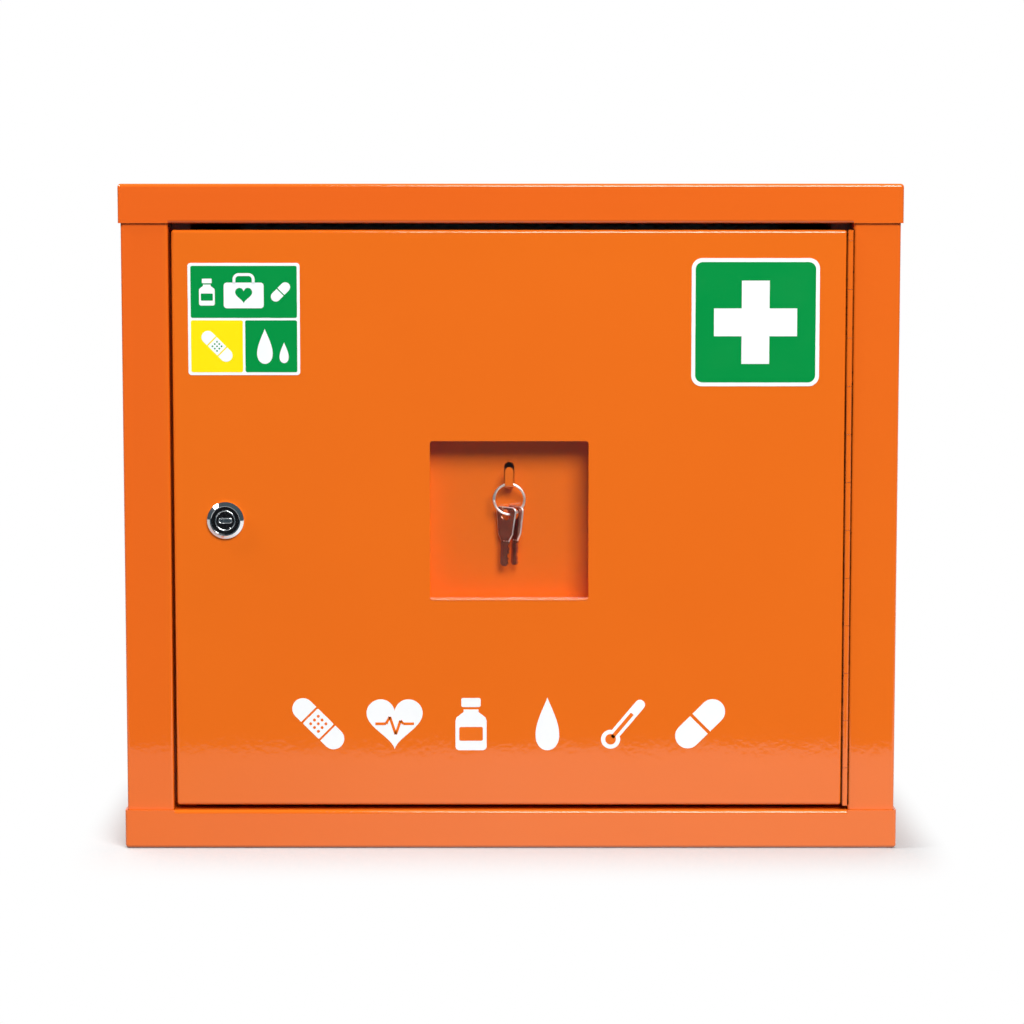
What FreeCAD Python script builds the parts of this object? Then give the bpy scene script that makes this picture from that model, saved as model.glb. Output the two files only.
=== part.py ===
"""Wall-hung first aid cabinet: a folded steel case closed by two tray caps, a door on a piano hinge
with a cam lock, and a niche in the door where the emergency keys hang behind a break pane.

Millimetres. +X is to the right of someone facing the door, +Y goes into the wall and +Z is up.
The origin is the middle of the footprint, on the surface that the cabinet can stand on."""

import FreeCAD
import Part
import math
import os

V = FreeCAD.Vector
X_AXIS = V(1, 0, 0)
Y_AXIS = V(0, 1, 0)
Z_AXIS = V(0, 0, 1)

# Overall size, measured over the caps
case_width = 490.0
case_height = 420.0
case_depth = 200.0

# Sheets, their bends and the seams between them
cap_sheet = 1.2
side_sheet = 1.0
back_sheet = 1.0
door_sheet = 1.0
bend_radius = 1.0  # inside of every fold
seam_gap = 0.3  # between two sheets that lap
cut_overrun = 5.0  # how far a cutting tool runs past the sheet that it cuts

# Caps: one tray, used as the top and as the bottom
cap_flange = 24.5
cap_return = 14.0  # depth of the web folded back behind the front flange

# Side panels, each folded into a stile and a return that ends at the stop lip
stile_width = 29.5
stop_lip = 12.0

# Back panel and its holes for the wall screws
wall_hole_diameter = 8.0
wall_hole_side_inset = 63.5  # from the panel's edge to the hole's centre
wall_hole_end_inset = 50.0

# Shelf on two side rails
shelf_sheet = 1.0
shelf_height = 205.0  # top of the shelf above the cabinet's foot
shelf_setback = 54.0  # from the door's face to the shelf's front edge
shelf_front_lip = 15.0
shelf_rear_upstand = 12.0
shelf_rear_gap = 1.0
shelf_side_gap = 0.8
rail_sheet = 1.5
rail_leg = 16.0
rail_end_inset = 14.0  # from the shelf's edges to the ends of the rail
shelf_screw_diameter = 4.0
shelf_screw_clearance = 0.2
shelf_screw_head_diameter = 7.6
shelf_screw_head_height = 2.4
shelf_screw_tail = 4.0  # length that shows below the rail
shelf_screw_end_inset = 16.0  # from the rail's end to the screw

# Door
lock_side_gap = 2.0
door_top_gap = 4.2
door_bottom_gap = 3.0
door_flange = 20.0
door_lip = 10.0
stop_gap = 2.0  # between the closed door and the stop lip
buffer_diameter = 8.0
buffer_gap = 0.3  # between a buffer and the closed door
buffer_edge_radius = 0.6
buffer_end_inset = 40.0  # from the door's top and bottom edges

# Piano hinge
pin_diameter = 2.0
pin_clearance = 0.05
leaf_sheet = 0.9
leaf_inset = 3.0  # of the leaves' rear edge from the door's back
leaf_notch_gap = 0.3  # between a leaf and the other leaf's knuckles
knuckle_length = 30.0
knuckle_gap = 0.25
first_knuckle = 6.6  # the hinge is cut to length, so its top knuckle is a stub
pin_setback = 0.2  # of the pin's axis behind the door's face

# Cam lock
lock_backset = 32.5  # from the door's edge to the lock's axis
barrel_diameter = 19.0
barrel_flat_share = 0.84  # of the barrel's diameter, across its two flats
barrel_clearance = 0.15
bezel_rim = 2.25  # of the bezel past the barrel
bezel_height = 3.2
bezel_foot = 0.9  # height of the bezel's upright edge
bezel_slope = 2.1  # width of its bevelled edge
bezel_land = 0.7
bezel_recess = 1.3
bezel_recess_taper = 0.4
plug_diameter = 12.9
plug_clearance = 0.08
plug_rim = 0.7
plug_dish_depth = 0.35
plug_proud = 0.7  # of the plug's rim above the recess
trim_thickness = 0.4
keyway_length = 7.6
keyway_width = 2.2
keyway_depth = 17.0
keyway_dish_margin = 1.1
lock_nut_flats = 23.0
lock_nut_thickness = 4.0
lock_washer_thickness = 1.0
lock_washer_rim = 3.4
lock_thread_clearance = 0.05
cam_sheet = 2.0
cam_gap = 0.4  # between the cam and the back of the stop lip
cam_width = 15.0
cam_overlap = 9.5  # of the locked cam behind the stop lip
cam_corner_radius = 4.0
cam_tail_side = 7.0
cam_tail_clearance = 0.1
cam_screw_diameter = 4.0
cam_screw_length = 9.0
cam_screw_head_diameter = 9.0
cam_screw_head_height = 2.2

# Key niche in the door
window_side = 100.0
window_corner_radius = 2.0
niche_margin = 2.0  # of the niche past the window's edge
niche_sheet = 0.8
niche_front_gap = 1.2  # between the keys and the pane
niche_back_gap = 0.7  # between the keys and the niche's back
pane_thickness = 1.8
pane_seat = 2.0  # of the pane on the niche's flange
pane_gap = 0.2
gasket_thickness = 2.0
gasket_width = 4.0
stud_diameter = 4.0
stud_length = 8.0
stud_edge = 4.6  # from the stud's middle to the edge of the niche's flange
stud_gasket_gap = 2.0
stud_hole_clearance = 0.2
stud_nut_flats = 7.0
stud_nut_thickness = 3.2
thread_clearance = 0.05

# Lanced hook, key ring and the two keys
hook_rise = 20.4  # of the hook's seat above the niche's middle
hook_width = 5.4
hook_height = 12.5
hook_slot_gap = 0.5  # beside the hook, in the slot that it is lanced from
hook_slot_rise = 2.6  # of the lanced slot above the hook's tip
hook_ring_gap = 0.4
ring_radius = 9.6  # to the middle of the wire
ring_wire = 1.7
ring_seat_gap = 0.3
key_sheet = 1.4
key_hole_clearance = 0.85  # round the wire where it crosses a key
key_hole_drop = 0.4  # of the hole's middle below the wire
key_head = 5.2  # from the hole's middle to the top of the bow
bow_width = 15.2
bow_foot_width = 11.0
bow_length = 18.5
bow_corner_radius = 3.2
blade_width = 5.8
blade_length = 16.5
shoulder_length = 3.0
key_cut_width = 2.2
key_cut_shares = (0.2, 0.1, 0.25, 0.15)  # of the blade's width
key_cut_pitch = 3.2
key_cut_start = 2.6  # from the shoulder to the first cut's middle
blade_tip_chamfer = 1.6

# How the two keys hang: place along the ring, turn about the plumb line and lean, in degrees
front_key_turn_angle = 34.0
front_key_place_angle = -11.0
front_key_lean_angle = 2.6
rear_key_turn_angle = 50.0
rear_key_place_angle = 25.0
rear_key_lean_angle = 2.0

# Rounding of a strip's end, of half its width
crown_share = 0.98

# Stickers on the door
sticker_thickness = 0.25
sign_side = 80.0
sign_corner_radius = 6.5
sign_edge_inset = 17.0  # from the door's hinge edge
sign_top_inset = 17.5
contents_side = 70.0
contents_corner_radius = 2.0
contents_edge_inset = 10.2  # from the door's lock edge
contents_top_inset = 20.5

# Planes and edges that the pieces share
cap_step = cap_sheet + seam_gap
knuckle_radius = pin_diameter / 2 + pin_clearance + leaf_sheet
front_projection = max(bezel_height, knuckle_radius - pin_setback) - cap_step
cap_front = -(case_depth - front_projection) / 2
case_front = cap_front + cap_step
case_back = cap_front + case_depth
side_outer = case_width / 2 - cap_step
side_inner = side_outer - side_sheet
panel_bottom = cap_sheet + bend_radius
panel_top = case_height - panel_bottom
rear_face = case_back - back_sheet
opening_half = side_outer - stile_width
lip_face = case_front + door_flange + stop_gap
lip_back = lip_face + side_sheet

hinge_x = opening_half - knuckle_radius
hinge_y = case_front + pin_setback
door_left = -opening_half + lock_side_gap
door_right = opening_half - 2 * knuckle_radius
door_bottom = cap_flange + door_bottom_gap
door_top = case_height - cap_flange - door_top_gap
door_middle_x = (door_left + door_right) / 2
door_middle_z = (door_bottom + door_top) / 2
door_back = case_front + door_flange
door_inside = case_front + door_sheet

lock_x = door_left + lock_backset
cam_front = lip_back + cam_gap
cam_back = cam_front + cam_sheet

gasket_back = door_inside + gasket_thickness
niche_half = window_side / 2 + niche_margin
pane_half = niche_half + pane_seat
gasket_inner_half = pane_half + pane_gap
gasket_half = gasket_inner_half + gasket_width
stud_offset = gasket_half + stud_gasket_gap + stud_diameter / 2
niche_flange_half = stud_offset + stud_edge


def key_half_depth(turn):
    """How far a hanging key reaches in front of and behind the ring, in the niche's depth."""
    angle = math.radians(turn)
    return bow_width / 2 * math.sin(angle) + key_sheet / 2 * math.cos(angle)


def key_hole_half(turn):
    """Half the hole that the ring's wire needs, where it crosses a key at a slant."""
    angle = math.radians(turn)
    return key_sheet / 2 / math.tan(angle) + ring_wire / 2 / math.sin(angle) + key_hole_clearance


widest_key = max(key_half_depth(front_key_turn_angle), key_half_depth(rear_key_turn_angle))
key_hole_diameter = 2 * max(key_hole_half(front_key_turn_angle), key_hole_half(rear_key_turn_angle))
ring_y = gasket_back + niche_front_gap + widest_key
niche_back = ring_y + widest_key + niche_back_gap  # inner face of the niche's back
hook_seat_z = door_middle_z + hook_rise
ring_inner_radius = ring_radius - ring_wire / 2
ring_z = hook_seat_z - math.sqrt(ring_inner_radius**2 - (hook_width / 2) ** 2) + ring_seat_gap


def box(x0, x1, y0, y1, z0, z1):
    """A box between two corners."""
    return Part.makeBox(x1 - x0, y1 - y0, z1 - z0, V(x0, y0, z0))


def rod(diameter, start, direction, length):
    """A cylinder that starts at a point and runs along a direction."""
    return Part.makeCylinder(diameter / 2, length, start, direction)


def edges_in(shape, *planes):
    """The edges of a shape whose two ends lie on one of the planes, each given as (axis, value)."""
    found = []
    for edge in shape.Edges:
        ends = [vertex.Point for vertex in edge.Vertexes]
        if any(all(abs(getattr(p, axis) - value) < 1e-6 for p in ends) for axis, value in planes):
            found.append(edge)
    return found


def edges_along(shape, direction):
    """The straight edges of a shape that run along a direction."""
    along = []
    for edge in shape.Edges:
        first, last = (vertex.Point for vertex in edge.Vertexes)
        if (last - first).normalize().cross(direction).Length < 1e-6:
            along.append(edge)
    return along


def in_xy(z):
    """Places outline points (x, y) at a height."""
    return lambda u, v: V(u, v, z)


def in_xz(y):
    """Places outline points (x, z) at a depth."""
    return lambda u, v: V(u, y, v)


def in_yz(x):
    """Places outline points (y, z) at a distance across the cabinet."""
    return lambda u, v: V(x, u, v)


def rounded_face(corners, radii, place):
    """A flat face with the given corners, each rounded by an arc of its own radius."""
    count = len(corners)
    stations = []
    for i in range(count):
        corner = V(corners[i][0], corners[i][1], 0)
        before = V(corners[i - 1][0], corners[i - 1][1], 0)
        after = V(corners[(i + 1) % count][0], corners[(i + 1) % count][1], 0)
        to_before = (before - corner).normalize()
        to_after = (after - corner).normalize()
        if radii[i] == 0:
            stations.append((corner, None, corner))
            continue
        half = to_before.getAngle(to_after) / 2
        setback = radii[i] / math.tan(half)
        middle = (to_before + to_after).normalize()
        crown = corner + middle * (radii[i] / math.sin(half) - radii[i])
        stations.append((corner + to_before * setback, crown, corner + to_after * setback))
    edges = []
    for i in range(count):
        start, crown, end = stations[i]
        if crown is not None:
            arc = [place(p.x, p.y) for p in (start, crown, end)]
            edges.append(Part.Arc(*arc).toShape())
        next_start = stations[(i + 1) % count][0]
        if (next_start - end).Length > 1e-6:
            edges.append(Part.makeLine(place(end.x, end.y), place(next_start.x, next_start.y)))
    return Part.Face(Part.Wire(edges))


def rounded_square(half, radius, middle_x, middle_z, y):
    """A square face that faces the front, with rounded corners."""
    corners = [(-half, -half), (half, -half), (half, half), (-half, half)]
    moved = [(middle_x + u, middle_z + v) for u, v in corners]
    return rounded_face(moved, [radius] * len(moved), in_xz(y))


def folded_face(path, sheet, place):
    """The section of a folded sheet: its outer face follows the path, and the sheet's thickness lies
    to the right of it, or to the left where the thickness is negative. Every fold has bend_radius."""
    side = 1 if sheet > 0 else -1
    thick = abs(sheet)
    points = [V(u, v, 0) for u, v in path]
    headings = [(b - a).normalize() for a, b in zip(points, points[1:])]
    normals = [V(h.y, -h.x, 0) * side for h in headings]
    inner = [points[0] + normals[0] * thick]
    outer_radii, inner_radii = [0], [0]
    for i in range(1, len(points) - 1):
        inner.append(points[i] + (normals[i - 1] + normals[i]) * thick)
        turn = headings[i - 1].cross(headings[i]).z * side
        outer_radii.append(bend_radius + thick if turn < 0 else bend_radius)
        inner_radii.append(bend_radius if turn < 0 else bend_radius + thick)
    inner.append(points[-1] + normals[-1] * thick)
    outer_radii.append(0)
    inner_radii.append(0)
    corners = [(p.x, p.y) for p in points + inner[::-1]]
    return rounded_face(corners, outer_radii + inner_radii[::-1], place)


def turned(profile, x, z):
    """A solid of revolution about the Y axis through (x, z); the profile is (radius, y) points."""
    points = [V(x + radius, y, z) for radius, y in profile]
    face = Part.Face(Part.makePolygon(points + points[:1]))
    return face.revolve(V(x, 0, z), Y_AXIS, 360)


def hexagon(flats, x, z, y0, thickness):
    """A hexagonal prism that faces the front."""
    radius = flats / math.sqrt(3)
    turns = [math.radians(60 * i) for i in range(6)]
    corners = [V(x + radius * math.cos(a), y0, z + radius * math.sin(a)) for a in turns]
    return Part.Face(Part.makePolygon(corners + corners[:1])).extrude(Y_AXIS * thickness)


def cap():
    """The bottom cap: a tray with flanges in front and at both sides, open behind. Between the stiles
    its front flange folds back into a web."""
    half = case_width / 2
    fold = bend_radius + cap_sheet
    tray = box(-half, half, cap_front, case_back, 0, cap_flange)
    corners = [e for e in edges_along(tray, Z_AXIS) if e.Vertexes[0].Point.y < 0]
    rims = [e for e in edges_in(tray, ("z", 0)) if e.CenterOfMass.y < case_back - cap_sheet]
    tray = tray.makeFillet(fold, corners + rims)
    inner_half = half - cap_sheet
    rear, top = case_back + cut_overrun, cap_flange + cut_overrun
    hollow = box(-inner_half, inner_half, cap_front + cap_sheet, rear, cap_sheet, top)
    corners = [e for e in edges_along(hollow, Z_AXIS) if e.Vertexes[0].Point.y < 0]
    rims = [e for e in edges_in(hollow, ("z", cap_sheet)) if e.CenterOfMass.y < case_back]
    tray = tray.cut(hollow.makeFillet(bend_radius, corners + rims))

    web_half = opening_half - seam_gap
    web_start = cap_flange - fold - cap_sheet
    flange_back = cap_front + cap_sheet
    tray = tray.cut(box(-web_half, web_half, cap_front - cut_overrun, flange_back, web_start, top))
    path = [(cap_front, web_start), (cap_front, cap_flange), (cap_front + cap_return, cap_flange)]
    web = folded_face(path, cap_sheet, in_yz(-web_half)).extrude(X_AXIS * (2 * web_half))
    return tray.fuse(web).removeSplitter()


def top_cap():
    """The same tray turned over."""
    turned_over = cap()
    turned_over.rotate(V(0, 0, case_height / 2), Y_AXIS, 180)
    return turned_over


def side_panel(side):
    """A side wall folded at the front into stile, return and stop lip, and plain at the back, where it
    meets the back panel. Side is -1 for the left panel and 1 for the right one."""
    path = [
        (side * (opening_half - stop_lip), lip_face),
        (side * opening_half, lip_face),
        (side * opening_half, case_front),
        (side * side_outer, case_front),
        (side * side_outer, rear_face),
    ]
    section = folded_face(path, -side * side_sheet, in_xy(panel_bottom))
    return section.extrude(Z_AXIS * (panel_top - panel_bottom))


def wall_holes():
    """Middles of the four holes for the wall screws, as (x, z)."""
    across = side_outer - wall_hole_side_inset
    low, high = wall_hole_end_inset, case_height - wall_hole_end_inset
    return [(x, z) for z in (low, high) for x in (-across, across)]


def back_panel():
    """The flat back with its wall holes, welded onto the rear edges of the side panels."""
    panel = box(-side_outer, side_outer, rear_face, case_back, cap_step, case_height - cap_step)
    for x, z in wall_holes():
        start = V(x, rear_face - cut_overrun, z)
        panel = panel.cut(rod(wall_hole_diameter, start, Y_AXIS, back_sheet + 2 * cut_overrun))
    return panel


shelf_front = case_front + shelf_setback
shelf_back = rear_face - shelf_rear_gap
shelf_half = side_inner - shelf_side_gap
shelf_under = shelf_height - shelf_sheet
rail_front = shelf_front + rail_end_inset
rail_back = shelf_back - rail_end_inset


def shelf_screw_places():
    """Middles of the four screws that hold the shelf down on its rails, as (x, y)."""
    across = side_inner - rail_leg / 2
    ends = (rail_front + shelf_screw_end_inset, rail_back - shelf_screw_end_inset)
    return [(side * across, y) for side in (-1, 1) for y in ends]


def shelf_screw_holes():
    """Cutters for the screw holes through the shelf and its rails."""
    reach = shelf_sheet + rail_leg + 2 * cut_overrun
    diameter = shelf_screw_diameter + 2 * shelf_screw_clearance
    bottom = shelf_under - rail_leg - cut_overrun
    return [rod(diameter, V(x, y, bottom), Z_AXIS, reach) for x, y in shelf_screw_places()]


def shelf():
    """A full-width shelf with its front edge folded down and its rear edge folded up."""
    path = [
        (shelf_front, shelf_height - shelf_front_lip),
        (shelf_front, shelf_height),
        (shelf_back - shelf_sheet, shelf_height),
        (shelf_back - shelf_sheet, shelf_height + shelf_rear_upstand),
    ]
    tray = folded_face(path, shelf_sheet, in_yz(-shelf_half)).extrude(X_AXIS * (2 * shelf_half))
    for hole in shelf_screw_holes():
        tray = tray.cut(hole)
    return tray


def shelf_rail(side):
    """An angle welded to a side wall, which carries one end of the shelf."""
    path = [
        (side * side_inner, shelf_under - rail_leg),
        (side * side_inner, shelf_under),
        (side * (side_inner - rail_leg), shelf_under),
    ]
    rail = folded_face(path, side * -rail_sheet, in_xz(rail_front))
    rail = rail.extrude(Y_AXIS * (rail_back - rail_front))
    for hole in shelf_screw_holes():
        rail = rail.cut(hole)
    return rail


def shelf_screws():
    """Four pan-head screws, down through the shelf and its rails."""
    screws = []
    shank = shelf_sheet + rail_sheet + shelf_screw_tail
    for x, y in shelf_screw_places():
        head = rod(shelf_screw_head_diameter, V(x, y, shelf_height), Z_AXIS, shelf_screw_head_height)
        crown = edges_in(head, ("z", shelf_height + shelf_screw_head_height))
        head = head.makeFillet(shelf_screw_head_height / 2, crown)
        shaft = rod(shelf_screw_diameter, V(x, y, shelf_height - shank), Z_AXIS, shank)
        screws.append(head.fuse(shaft).removeSplitter())
    return Part.makeCompound(screws)


def door_buffers():
    """Two rubber buffers stuck on the stop lip at the lock side."""
    thickness = lip_face - door_back - buffer_gap
    x = -opening_half + stop_lip / 2
    dots = []
    for z in (door_bottom + buffer_end_inset, door_top - buffer_end_inset):
        dot = rod(buffer_diameter, V(x, lip_face, z), -Y_AXIS, thickness)
        dots.append(dot.makeFillet(buffer_edge_radius, edges_in(dot, ("y", lip_face - thickness))))
    return Part.makeCompound(dots)


def lock_section(clearance, y, length):
    """The lock's barrel, or with a clearance the hole for it: a round with two flats."""
    diameter = barrel_diameter + 2 * clearance
    flats = barrel_diameter * barrel_flat_share + 2 * clearance
    round_part = rod(diameter, V(lock_x, y, door_middle_z), Y_AXIS, length)
    half = diameter / 2
    slab_ends = (door_middle_z - flats / 2, door_middle_z + flats / 2)
    return round_part.common(box(lock_x - half, lock_x + half, y, y + length, *slab_ends))


def door_pan():
    """The door: a pan folded on all four edges, with lips behind, a window for the keys and a hole for
    the lock."""
    pan = box(door_left, door_right, case_front, door_back, door_bottom, door_top)
    folds = edges_along(pan, Y_AXIS) + edges_in(pan, ("y", case_front))
    pan = pan.makeFillet(bend_radius + door_sheet, folds)
    x0, x1 = door_left + door_sheet, door_right - door_sheet
    z0, z1 = door_bottom + door_sheet, door_top - door_sheet
    hollow = box(x0, x1, door_inside, door_back - door_sheet, z0, z1)
    inner_edges = edges_along(hollow, Y_AXIS) + edges_in(hollow, ("y", door_inside))
    pan = pan.cut(hollow.makeFillet(bend_radius, inner_edges))
    x0, x1, z0, z1 = x0 + door_lip, x1 - door_lip, z0 + door_lip, z1 - door_lip
    pan = pan.cut(box(x0, x1, door_inside + door_sheet, door_back + cut_overrun, z0, z1))
    reach = door_sheet + 2 * cut_overrun
    start = case_front - cut_overrun
    half = window_side / 2
    window = rounded_square(half, window_corner_radius, door_middle_x, door_middle_z, start)
    pan = pan.cut(window.extrude(Y_AXIS * reach))
    return pan.cut(lock_section(barrel_clearance, start, reach))


def knuckle_spans():
    """Ends of the hinge's knuckles from the top down, as (low, high, on the door). They alternate, and
    the stub at the top is the door's."""
    spans = []
    high, length, on_door = door_top, first_knuckle, True
    while high > door_bottom:
        low = max(high - length, door_bottom)
        spans.append((low, high, on_door))
        high, length, on_door = low - knuckle_gap, knuckle_length, not on_door
    return spans


def hinge_leaf(on_door):
    """One leaf of the piano hinge: a strip rolled round the pin at every other knuckle."""
    left = door_right if on_door else opening_half - leaf_sheet
    right = left + leaf_sheet
    strip_front = hinge_y + knuckle_radius + leaf_notch_gap
    leaf = box(left, right, strip_front, door_back - leaf_inset, door_bottom, door_top)
    for low, high, owner in knuckle_spans():
        if owner == on_door:
            knuckle = rod(2 * knuckle_radius, V(hinge_x, hinge_y, low), Z_AXIS, high - low)
            link = box(left, right, hinge_y + leaf_sheet / 2, strip_front, low, high)
            leaf = leaf.fuse(knuckle.fuse(link))
    bore = pin_diameter + 2 * pin_clearance
    bottom = V(hinge_x, hinge_y, door_bottom - cut_overrun)
    leaf = leaf.cut(rod(bore, bottom, Z_AXIS, door_top - door_bottom + 2 * cut_overrun))
    return leaf.removeSplitter()


def hinge_pin():
    """The wire that runs through all the knuckles."""
    return rod(pin_diameter, V(hinge_x, hinge_y, door_bottom), Z_AXIS, door_top - door_bottom)


bezel_radius = barrel_diameter / 2 + bezel_rim
bezel_face = case_front - bezel_height
recess_face = bezel_face + bezel_recess
bezel_land_outer = bezel_radius - bezel_slope
bezel_land_inner = bezel_land_outer - bezel_land
recess_radius = bezel_land_inner - bezel_recess_taper
plug_bore = plug_diameter / 2 + plug_clearance
plug_face = recess_face - plug_proud
lock_nut_front = door_inside + lock_washer_thickness


def lock_body():
    """The lock's housing: a bevelled bezel with a sunk face, and a flatted barrel through the door."""
    bezel = turned(
        [
            (plug_bore, case_front),
            (bezel_radius, case_front),
            (bezel_radius, case_front - bezel_foot),
            (bezel_land_outer, bezel_face),
            (bezel_land_inner, bezel_face),
            (recess_radius, recess_face),
            (plug_bore, recess_face),
        ],
        lock_x,
        door_middle_z,
    )
    barrel = lock_section(0, case_front, cam_front - case_front)
    start = V(lock_x, case_front - cut_overrun, door_middle_z)
    barrel = barrel.cut(rod(2 * plug_bore, start, Y_AXIS, cam_front - case_front + 2 * cut_overrun))
    return bezel.fuse(barrel).removeSplitter()


def lock_trim():
    """The dark ring laid in the bezel's sunk face, round the plug."""
    outer = rod(2 * recess_radius, V(lock_x, recess_face, door_middle_z), -Y_AXIS, trim_thickness)
    bore = V(lock_x, recess_face + cut_overrun, door_middle_z)
    return outer.cut(rod(2 * plug_bore, bore, -Y_AXIS, trim_thickness + 2 * cut_overrun))


def lock_plug():
    """The turning core: a dished face with a level keyway, and a square tail that drives the cam."""
    dish = plug_face + plug_dish_depth
    dish_radius = plug_diameter / 2 - plug_rim
    body = turned(
        [
            (0, dish),
            (dish_radius - plug_dish_depth, dish),
            (dish_radius, plug_face),
            (plug_diameter / 2, plug_face),
            (plug_diameter / 2, cam_front),
            (0, cam_front),
        ],
        lock_x,
        door_middle_z,
    )
    half = cam_tail_side / 2
    tail_ends = (door_middle_z - half, door_middle_z + half)
    body = body.fuse(box(lock_x - half, lock_x + half, cam_front, cam_back, *tail_ends))
    long_half, short_half = keyway_length / 2, keyway_width / 2
    slot_ends = (door_middle_z - short_half, door_middle_z + short_half)
    across = (lock_x - long_half, lock_x + long_half)
    body = body.cut(box(*across, plug_face - cut_overrun, plug_face + keyway_depth, *slot_ends))
    margin_long, margin_short = long_half + keyway_dish_margin, short_half + keyway_dish_margin
    corners = [
        (lock_x - margin_long, door_middle_z - margin_short),
        (lock_x + margin_long, door_middle_z - margin_short),
        (lock_x + margin_long, door_middle_z + margin_short),
        (lock_x - margin_long, door_middle_z + margin_short),
    ]
    lead_in = rounded_face(corners, [margin_short * crown_share] * len(corners), in_xz(dish))
    body = body.cut(lead_in.extrude(Y_AXIS * plug_dish_depth))
    start = V(lock_x, cam_back - cam_screw_length, door_middle_z)
    body = body.cut(rod(cam_screw_diameter + 2 * thread_clearance, start, Y_AXIS, 2 * cam_screw_length))
    return body.removeSplitter()


def lock_cam():
    """The flat cam behind the stop lip. It hangs down while the door is free to open."""
    reach = lock_backset + lock_side_gap - stop_lip + cam_overlap
    half = cam_width / 2
    corners = [(-half, half), (half, half), (half, -reach), (-half, -reach)]
    placed = [(lock_x + u, door_middle_z + v) for u, v in corners]
    arm = rounded_face(placed, [cam_corner_radius] * len(placed), in_xz(cam_front))
    arm = arm.extrude(Y_AXIS * cam_sheet)
    eye = cam_tail_side / 2 + cam_tail_clearance
    square = box(-eye, eye, cam_front - cut_overrun, cam_back + cut_overrun, -eye, eye)
    square.translate(V(lock_x, 0, door_middle_z))
    return arm.cut(square)


def cam_screw():
    """The screw that clamps the cam to the plug's tail."""
    head_start = V(lock_x, cam_back, door_middle_z)
    head = rod(cam_screw_head_diameter, head_start, Y_AXIS, cam_screw_head_height)
    rim = edges_in(head, ("y", cam_back + cam_screw_head_height))
    head = head.makeFillet(cam_screw_head_height / 2, rim)
    shaft_start = V(lock_x, cam_back - cam_screw_length, door_middle_z)
    shaft = rod(cam_screw_diameter, shaft_start, Y_AXIS, cam_screw_length)
    return head.fuse(shaft).removeSplitter()


def lock_washer():
    """The washer between the door and the lock's nut."""
    diameter = barrel_diameter + 2 * lock_washer_rim
    washer = rod(diameter, V(lock_x, door_inside, door_middle_z), Y_AXIS, lock_washer_thickness)
    reach = lock_washer_thickness + 2 * cut_overrun
    return washer.cut(lock_section(barrel_clearance, door_inside - cut_overrun, reach))


def lock_nut():
    """The thin hexagonal nut that clamps the lock in the door."""
    nut = hexagon(lock_nut_flats, lock_x, door_middle_z, lock_nut_front, lock_nut_thickness)
    bore = barrel_diameter + 2 * lock_thread_clearance
    start = V(lock_x, lock_nut_front - cut_overrun, door_middle_z)
    return nut.cut(rod(bore, start, Y_AXIS, lock_nut_thickness + 2 * cut_overrun))


def stud_places():
    """Middles of the four studs that hold the niche, as (x, z)."""
    signs = [(-1, -1), (1, -1), (1, 1), (-1, 1)]
    return [(door_middle_x + a * stud_offset, door_middle_z + b * stud_offset) for a, b in signs]


def niche_slab(half, y0, y1):
    """A square slab on the niche's middle."""
    x0, x1 = door_middle_x - half, door_middle_x + half
    return box(x0, x1, y0, y1, door_middle_z - half, door_middle_z + half)


def key_niche():
    """The tray behind the window, with a flange for the studs and a hook lanced from its back."""
    outer_half = niche_half + niche_sheet
    tray = niche_slab(outer_half, gasket_back, niche_back + niche_sheet)
    fold = bend_radius + niche_sheet
    outside = edges_along(tray, Y_AXIS) + edges_in(tray, ("y", niche_back + niche_sheet))
    tray = tray.makeFillet(fold, outside)
    tray = tray.fuse(niche_slab(niche_flange_half, gasket_back, gasket_back + niche_sheet))
    hollow = niche_slab(niche_half, gasket_back - cut_overrun, niche_back)
    inside = edges_along(hollow, Y_AXIS) + edges_in(hollow, ("y", niche_back))
    tray = tray.cut(hollow.makeFillet(bend_radius, inside))
    hole = stud_diameter + 2 * stud_hole_clearance
    for x, z in stud_places():
        start = V(x, gasket_back - cut_overrun, z)
        tray = tray.cut(rod(hole, start, Y_AXIS, niche_sheet + 2 * cut_overrun))
    return tray.cut(hook_slot()).fuse(hook()).removeSplitter()


def hook_slot():
    """The opening that lancing the hook leaves in the niche's back."""
    half = hook_width / 2 + hook_slot_gap
    top = hook_seat_z + hook_height + hook_slot_rise
    corners = [(-half, hook_seat_z), (half, hook_seat_z), (half, top), (-half, top)]
    placed = [(door_middle_x + u, v) for u, v in corners]
    crown = half * crown_share
    slot = rounded_face(placed, [0, 0, crown, crown], in_xz(niche_back - niche_sheet / 2))
    return slot.extrude(Y_AXIS * (niche_sheet + cut_overrun))


def hook():
    """A tongue that leaves the niche's back, passes under the key ring and turns up in front of it."""
    upright_back = ring_y - ring_wire / 2 - hook_ring_gap
    front = upright_back - niche_sheet
    under = hook_seat_z - niche_sheet
    tip = hook_seat_z + hook_height
    path = [(niche_back + niche_sheet / 2, under), (front, under), (front, tip)]
    half = hook_width / 2
    left = door_middle_x - half
    tongue = folded_face(path, niche_sheet, in_yz(left)).extrude(X_AXIS * hook_width)
    crown = half * crown_share
    corners = [(left, under), (left + hook_width, under), (left + hook_width, tip), (left, tip)]
    outline = rounded_face(corners, [0, 0, crown, crown], in_xz(front - cut_overrun))
    return tongue.common(outline.extrude(Y_AXIS * (niche_back - front + 2 * cut_overrun)))


def break_pane():
    """The clear pane that has to be broken to reach the keys."""
    play = (gasket_thickness - pane_thickness) / 2
    return niche_slab(pane_half, door_inside + play, gasket_back - play)


def pane_gasket():
    """The square frame that centres the pane and seals the niche against the door."""
    frame = niche_slab(gasket_half, door_inside, gasket_back)
    opening = niche_slab(gasket_inner_half, door_inside - cut_overrun, gasket_back + cut_overrun)
    return frame.cut(opening)


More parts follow.
